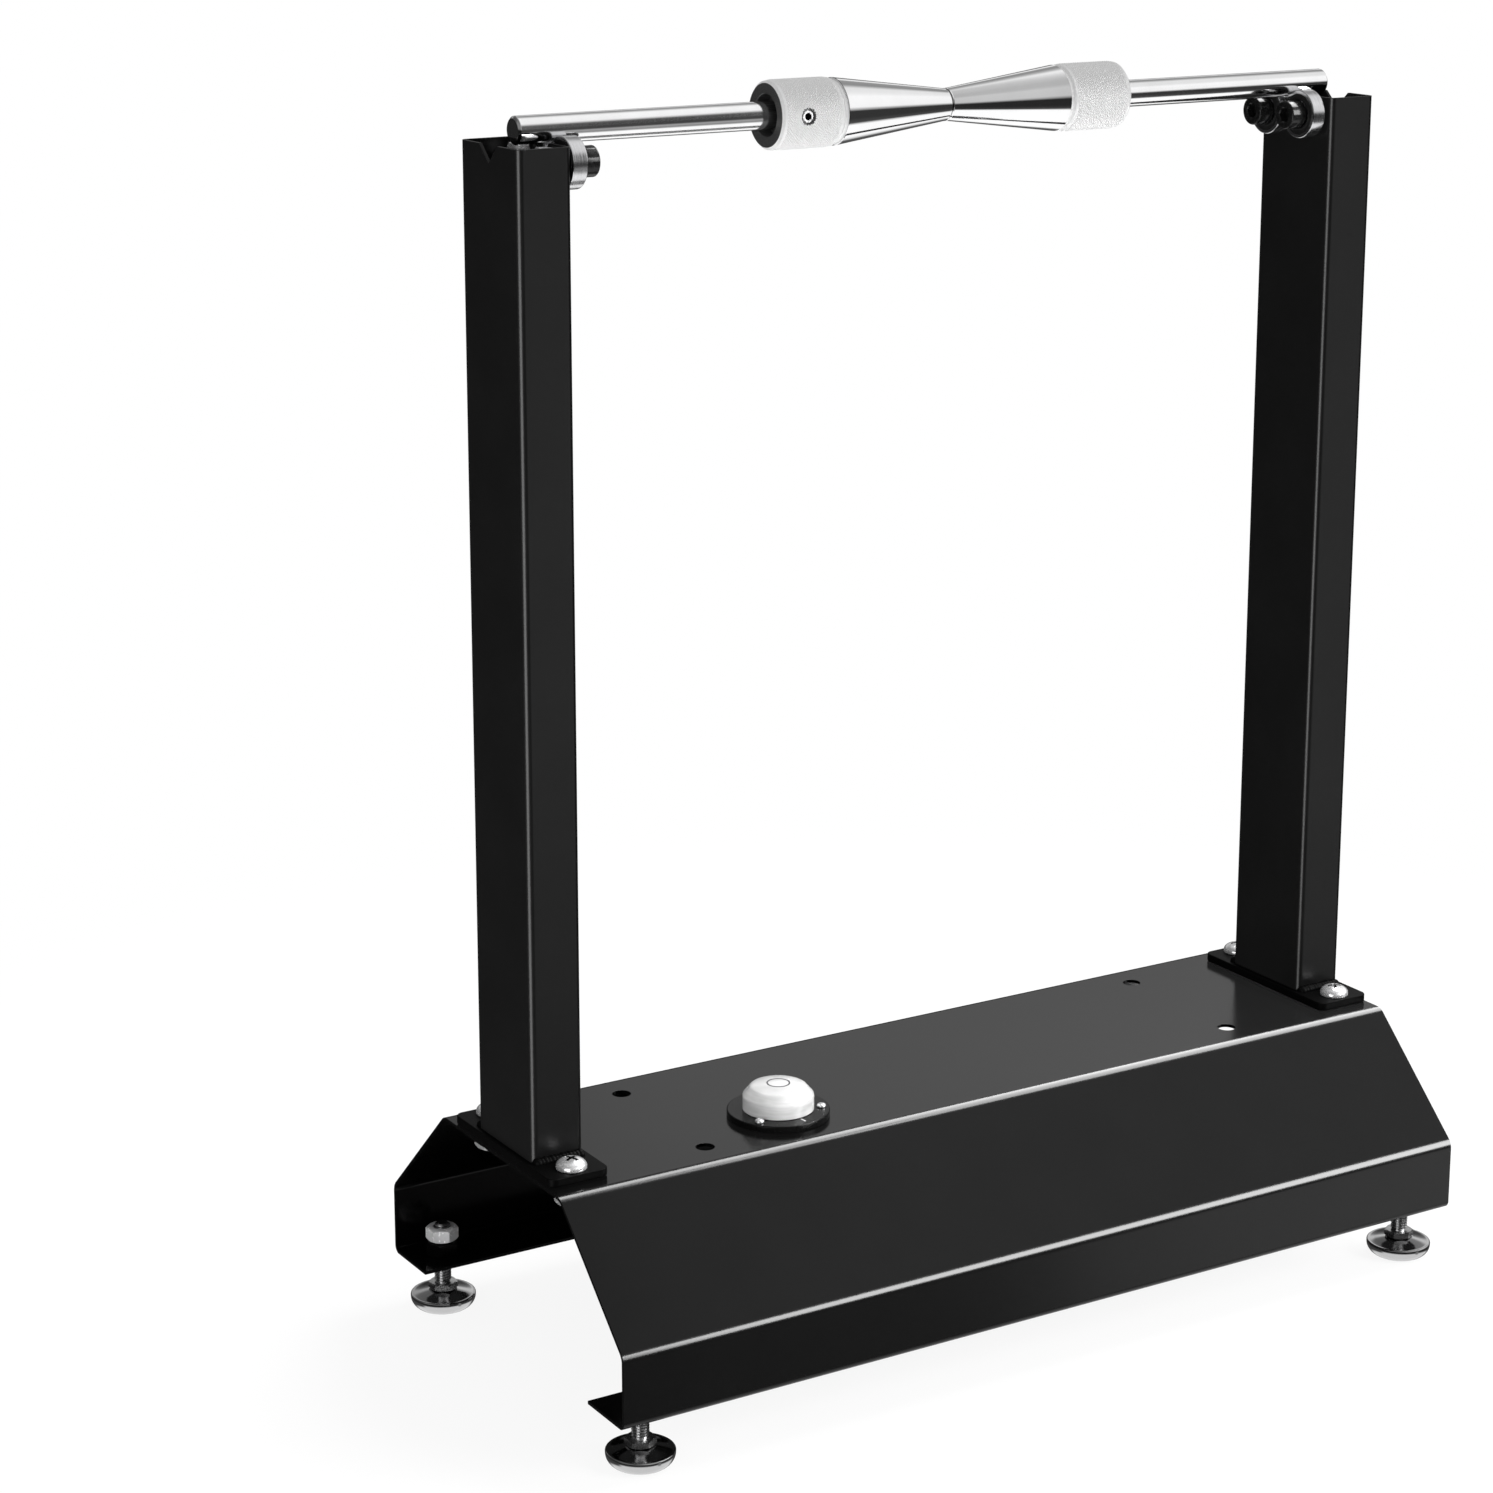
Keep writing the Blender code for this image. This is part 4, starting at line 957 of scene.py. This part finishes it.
def buildLevelScrew(number):
    sizes = dict(
        head=0.0021, height=0.0014, dome=0.001, steps=8, cross=0.0022, crossWidth=0.0005,
        crossDepth=0.0008, thread=0.0015, pitch=0.0005, chamfer=0.0002, shankIn=0.0012, lead=0.0002,
        runout=0.0016, turn=35,
    )
    node = f"level_screw_{number}"
    spot, bottom, top = middle(node), low(node).z, high(node).z
    head, dome, seat = sizes["head"], sizes["dome"], top - sizes["height"]
    quarter = arcPoints((0, 0), 1, 0, math.pi / 2, sizes["steps"])[:-1]
    cap = [(head * out, top - dome + dome * up) for out, up in quarter]
    knob = spun([(0, seat), (head, seat)] + cap + [(0, top)], sides=32)
    cross = crossRecess(sizes["cross"], sizes["crossWidth"], top - sizes["crossDepth"], top + overrun)
    shank = threadedShank(
        bottom, top - sizes["shankIn"], bottom + sizes["lead"], top - sizes["runout"],
        *some(sizes, "thread pitch chamfer"),
    )
    body = together([carved(knob, [cross]), shank])
    moved(body, at(*spot.xy, 0) @ turned(sizes["turn"] * number))
    piece(f"levelScrew_{number}", body, zincFinish, "stand", [node])


buildBase()
print("base made")
for sideName in sideSigns:
    buildColumn(sideName)
    buildFootPlate(sideName)
buildColumnScrews()
print("columns made")
for placeName in places:
    buildPad(placeName)
    buildStud(placeName)
print("feet made")
for placeName, (sideName, _) in places.items():
    ringCentre = middle(f"bearing_outer_{placeName}")
    inwardTurn = alongX if sideName == "left" else alongMinusX
    buildBearing(placeName, at(*ringCentre) @ inwardTurn)
    buildBolt(placeName, sideSigns[sideName], ringCentre, inwardTurn)
print("bearings made")
buildAxle()
for sideName in sideSigns:
    buildCone(sideName)
    buildSetScrew(sideName)
print("axle and cones made")
levelCentre, levelSeat, levelThickness = middle("level_base"), low("level_base").z, 0.003
buildLevelFlange(levelCentre, levelSeat, levelThickness)
buildLevelVial(levelCentre)
buildLevelTick(levelCentre, levelSeat, levelThickness)
for screwNumber in (1, 2, 3):
    buildLevelScrew(screwNumber)
print("level made")


# Studio

def stageSheet(name, bm, material):
    # A sheet of the studio that no reflection shows
    mesh = meshOf(name, bm)
    mesh.materials.append(material)
    sheet = added(name, mesh)
    sheet.visible_glossy = False
    return sheet


def mathNode(tree, operation, first, second, third=None):
    # A Math node whose inputs are sockets or numbers
    node = tree.nodes.new("ShaderNodeMath")
    node.operation = operation
    for socket, value in zip(node.inputs, (first, second, third)):
        if isinstance(value, bpy.types.NodeSocket):
            tree.links.new(value, socket)
        elif value is not None:
            socket.default_value = value
    return node.outputs["Value"]


def shared(tree, share, first, second):
    # A Mix Shader of two shaders
    node = tree.nodes.new("ShaderNodeMixShader")
    for socket, source in zip(node.inputs, (share, first, second)):
        tree.links.new(source, socket)
    return node.outputs["Shader"]


def blended(tree, share, first, second):
    # A Mix of two colours, whose sockets go by number because their names repeat
    node = tree.nodes.new("ShaderNodeMix")
    node.data_type = "RGBA"
    for key, source in (("Factor", share), (6, first), (7, second)):
        tree.links.new(source, node.inputs[key])
    return node.outputs[2]


def cameraSees(tree):
    path = tree.nodes.new("ShaderNodeLightPath")
    return mathNode(tree, "MAXIMUM", path.outputs["Is Camera Ray"], path.outputs["Is Transmission Ray"])


def buildFloor():
    # Pale paper that keeps the shadow and fades into the white behind it
    look = dict(radius=1.1, paper=0.9, share=0.90, fade=(0.30, 0.75))
    material, tree, paper = principled("floorPaper", grey(look["paper"]), 0.9)
    fill(paper, Specular_IOR_Level=0.0)
    coordinates = tree.nodes.new("ShaderNodeTexCoord")
    length = tree.nodes.new("ShaderNodeVectorMath")
    length.operation = "LENGTH"
    tree.links.new(coordinates.outputs["Object"], length.inputs[0])
    near = mapped(tree, length.outputs["Value"], *look["fade"], look["share"], 1.0)
    glow = tree.nodes.new("ShaderNodeEmission").outputs["Emission"]
    share = mathNode(tree, "MULTIPLY", cameraSees(tree), near)
    surface = shared(tree, share, paper.outputs["BSDF"], glow)
    tree.links.new(surface, tree.nodes["Material Output"].inputs["Surface"])
    bm = bmesh.new()
    bmesh.ops.create_circle(bm, cap_ends=True, segments=96, radius=look["radius"])
    stageSheet("floor", bm, material)


def buildFlag():
    # A card over the flat top, seen by shadow rays alone: it keeps the lower fold's lamp off the top
    look = dict(reachX=0.2249, reachY=0.0505, lift=0.0004, card=0.02)
    top = high("base_channel").z + look["lift"]
    bm = bmesh.new()
    corners = [
        (x * look["reachX"], y * look["reachY"], top) for x, y in ((-1, -1), (1, -1), (1, 1), (-1, 1))
    ]
    bm.faces.new([bm.verts.new(corner) for corner in corners])
    flag = stageSheet("flag", bm, principled("flagCard", grey(look["card"]), 0.9)[0])
    flag.visible_camera = False
    flag.visible_diffuse = False
    flag.visible_transmission = False
    flag.visible_volume_scatter = False
    return flag


def skyRamp(tree, height, steps):
    ramp = tree.nodes.new("ShaderNodeValToRGB")
    elements = ramp.color_ramp.elements
    while len(elements) < len(steps):
        elements.new(0.5)
    for element, (rise, level) in zip(elements, steps):
        element.position = (rise + 1) / 2
        element.color = (*grey(level), 1)
    tree.links.new(height, ramp.inputs["Fac"])
    return ramp.outputs["Color"]


def whiteGlow(tree, strength):
    glow = tree.nodes.new("ShaderNodeBackground")
    fill(glow, Color=(1, 1, 1, 1), Strength=strength)
    return glow.outputs["Background"]


def buildWorld():
    # White where the camera looks; metal sees a pale room with dark bands. Their steps are
    # (height of the ray, grey), and the other pairs are where a change along an axis eases
    look = dict(
        ambient=0.62,
        front=((-1.0, 0.95), (-0.56, 0.95), (-0.48, 0.06), (-0.30, 0.03), (0.02, 0.03), (0.20, 0.86),
               (0.60, 0.90), (0.72, 0.72), (0.84, 0.72), (1.0, 0.92)),
        rodLeft=((-1.0, 0.95), (-0.68, 0.95), (-0.56, 0.22), (-0.48, 0.24), (-0.34, 0.36), (-0.18, 0.05),
                 (0.38, 0.04), (0.50, 0.10), (0.60, 0.48), (0.70, 0.84), (1.0, 0.90)),
        back=((-1.0, 0.95), (-0.72, 0.95), (-0.60, 0.08), (0.10, 0.06), (0.26, 0.22), (0.35, 0.78),
              (0.42, 0.78), (0.50, 0.28), (0.66, 0.24), (0.78, 0.42), (0.86, 0.85), (1.0, 0.92)),
        rodFrom=(0.40, 0.46), rodTo=(0.53, 0.59), behind=(0.05, 0.32), farLeft=(-0.5, 0.1),
        below=(-0.50, -0.25), left=0.35, dim=0.72, lift=1.22,
    )
    world = bpy.data.worlds.new("studio")
    bpy.context.scene.world = world
    world.use_nodes = True
    tree = world.node_tree
    tree.nodes.clear()
    coordinates = tree.nodes.new("ShaderNodeTexCoord")
    split = tree.nodes.new("ShaderNodeSeparateXYZ")
    tree.links.new(coordinates.outputs["Generated"], split.inputs[0])
    x, y, z = split.outputs
    height = mathNode(tree, "MULTIPLY_ADD", z, 0.5, 0.5)
    front, rodLeft, back = (skyRamp(tree, height, look[name]) for name in ("front", "rodLeft", "back"))
    inside = mapped(tree, x, *look["rodFrom"])
    beyond = mapped(tree, x, *look["rodTo"], 1.0, 0.0)
    ahead = blended(tree, mathNode(tree, "MULTIPLY", inside, beyond), front, rodLeft)
    room = tree.nodes.new("ShaderNodeBackground")
    colour = blended(tree, mapped(tree, y, *look["behind"]), ahead, back)
    tree.links.new(colour, room.inputs["Color"])
    right = mapped(tree, x, *look["rodFrom"], look["dim"], look["lift"])
    left = mathNode(tree, "MULTIPLY", right, mapped(tree, x, *look["farLeft"], look["left"], 1.0))
    under = mapped(tree, z, *look["below"], look["lift"], 0.0)
    tree.links.new(mathNode(tree, "MAXIMUM", left, under), room.inputs["Strength"])
    glossy = tree.nodes.new("ShaderNodeLightPath").outputs["Is Glossy Ray"]
    lit = shared(tree, glossy, whiteGlow(tree, look["ambient"]), room.outputs["Background"])
    surface = shared(tree, cameraSees(tree), lit, whiteGlow(tree, 1.0))
    output = tree.nodes.new("ShaderNodeOutputWorld")
    tree.links.new(surface, output.inputs["Surface"])


def lightGroups(flag):
    # Which pieces share lamps, by their first material; metals under None see the world alone
    kinds = {baseCoat: "base", columnCoat: "columns"}
    kinds.update(dict.fromkeys((groundChrome, turnedChrome, padChrome, steelFinish)))
    groups = {name: bpy.data.collections.new(name) for name in ("base", "columns", "rest", "flagged")}
    for item in [item for item in bpy.data.objects if item.type == "MESH" and item != flag]:
        kind = kinds.get(item.active_material, "rest")
        if kind:
            groups[kind].objects.link(item)
    for item in (flag, *groups["base"].objects):
        groups["flagged"].objects.link(item)
    return groups


def buildLamps(groups):
    lamps = [
        dict(lit="base", shade="flagged", name="lowerFold", power=140,
             spot=(1.08, -1.36, 0.62), aim=(0, -0.1, 0.06), size=(1.2, 0.8)),
        dict(lit="base", shade="base", name="upperFold", power=104,
             spot=(1.02, 0.42, 1.50), aim=(0, -0.05, 0.11), size=(1.25, 1.2)),
        dict(lit="base", shade="base", name="skirt", power=2.2,
             spot=(1.30, -1.10, -0.50), aim=(0.1, -0.1, 0.04), size=(0.9, 0.5)),
        dict(lit="columns", shade="columns", name="corner", power=42,
             spot=(-1.45, -0.75, 0.05), aim=(-0.2, 0, 0.3), size=(0.9, 1.2)),
        dict(lit="columns", shade="columns", name="front", power=5,
             spot=(0.89, -1.35, 0.10), aim=(0, 0, 0.3), size=(1.3, 1.1)),
        dict(lit="rest", shade=None, name="key", power=38,
             spot=(1.02, -1.36, 0.98), aim=(0, -0.1, 0.10), size=(1.0, 0.85)),
        dict(lit="rest", shade=None, name="edge", power=12,
             spot=(-1.45, -0.75, 0.05), aim=(-0.1, 0, 0.1), size=(0.9, 1.2)),
        dict(lit="rest", shade=None, name="top", power=28,
             spot=(0.80, 0.10, 1.50), aim=(0, -0.05, 0.11), size=(0.9, 0.7)),
    ]
    for lamp in lamps:
        light = bpy.data.lights.new(lamp["name"], "AREA")
        light.shape = "RECTANGLE"
        light.size, light.size_y = lamp["size"]
        light.energy = lamp["power"]
        item = added(lamp["name"], light)
        item.location = lamp["spot"]
        toward = Vector(lamp["aim"]) - item.location
        item.rotation_euler = toward.to_track_quat("-Z", "Y").to_euler()
        item.visible_camera = False
        item.light_linking.receiver_collection = groups[lamp["lit"]]
        if lamp["shade"]:
            item.light_linking.blocker_collection = groups[lamp["shade"]]


def buildCamera():
    view = dict(
        spot=(-0.8855, -1.2899, 0.6991), heading=31.325, down=13.799, lens=86.26, shift=-0.08,
        sensor=36, nearest=0.05,
    )
    camera = bpy.data.cameras.new("camera")
    camera.sensor_width = view["sensor"]
    camera.lens = view["lens"]
    camera.shift_y = view["shift"]
    camera.clip_start = view["nearest"]
    item = added("camera", camera)
    item.location = view["spot"]
    item.rotation_euler = (math.radians(90 - view["down"]), 0, -math.radians(view["heading"]))
    bpy.context.scene.camera = item


buildFloor()
buildWorld()
buildLamps(lightGroups(buildFlag()))
buildCamera()
bpy.context.scene.view_settings.view_transform = "Standard"
print("studio made")
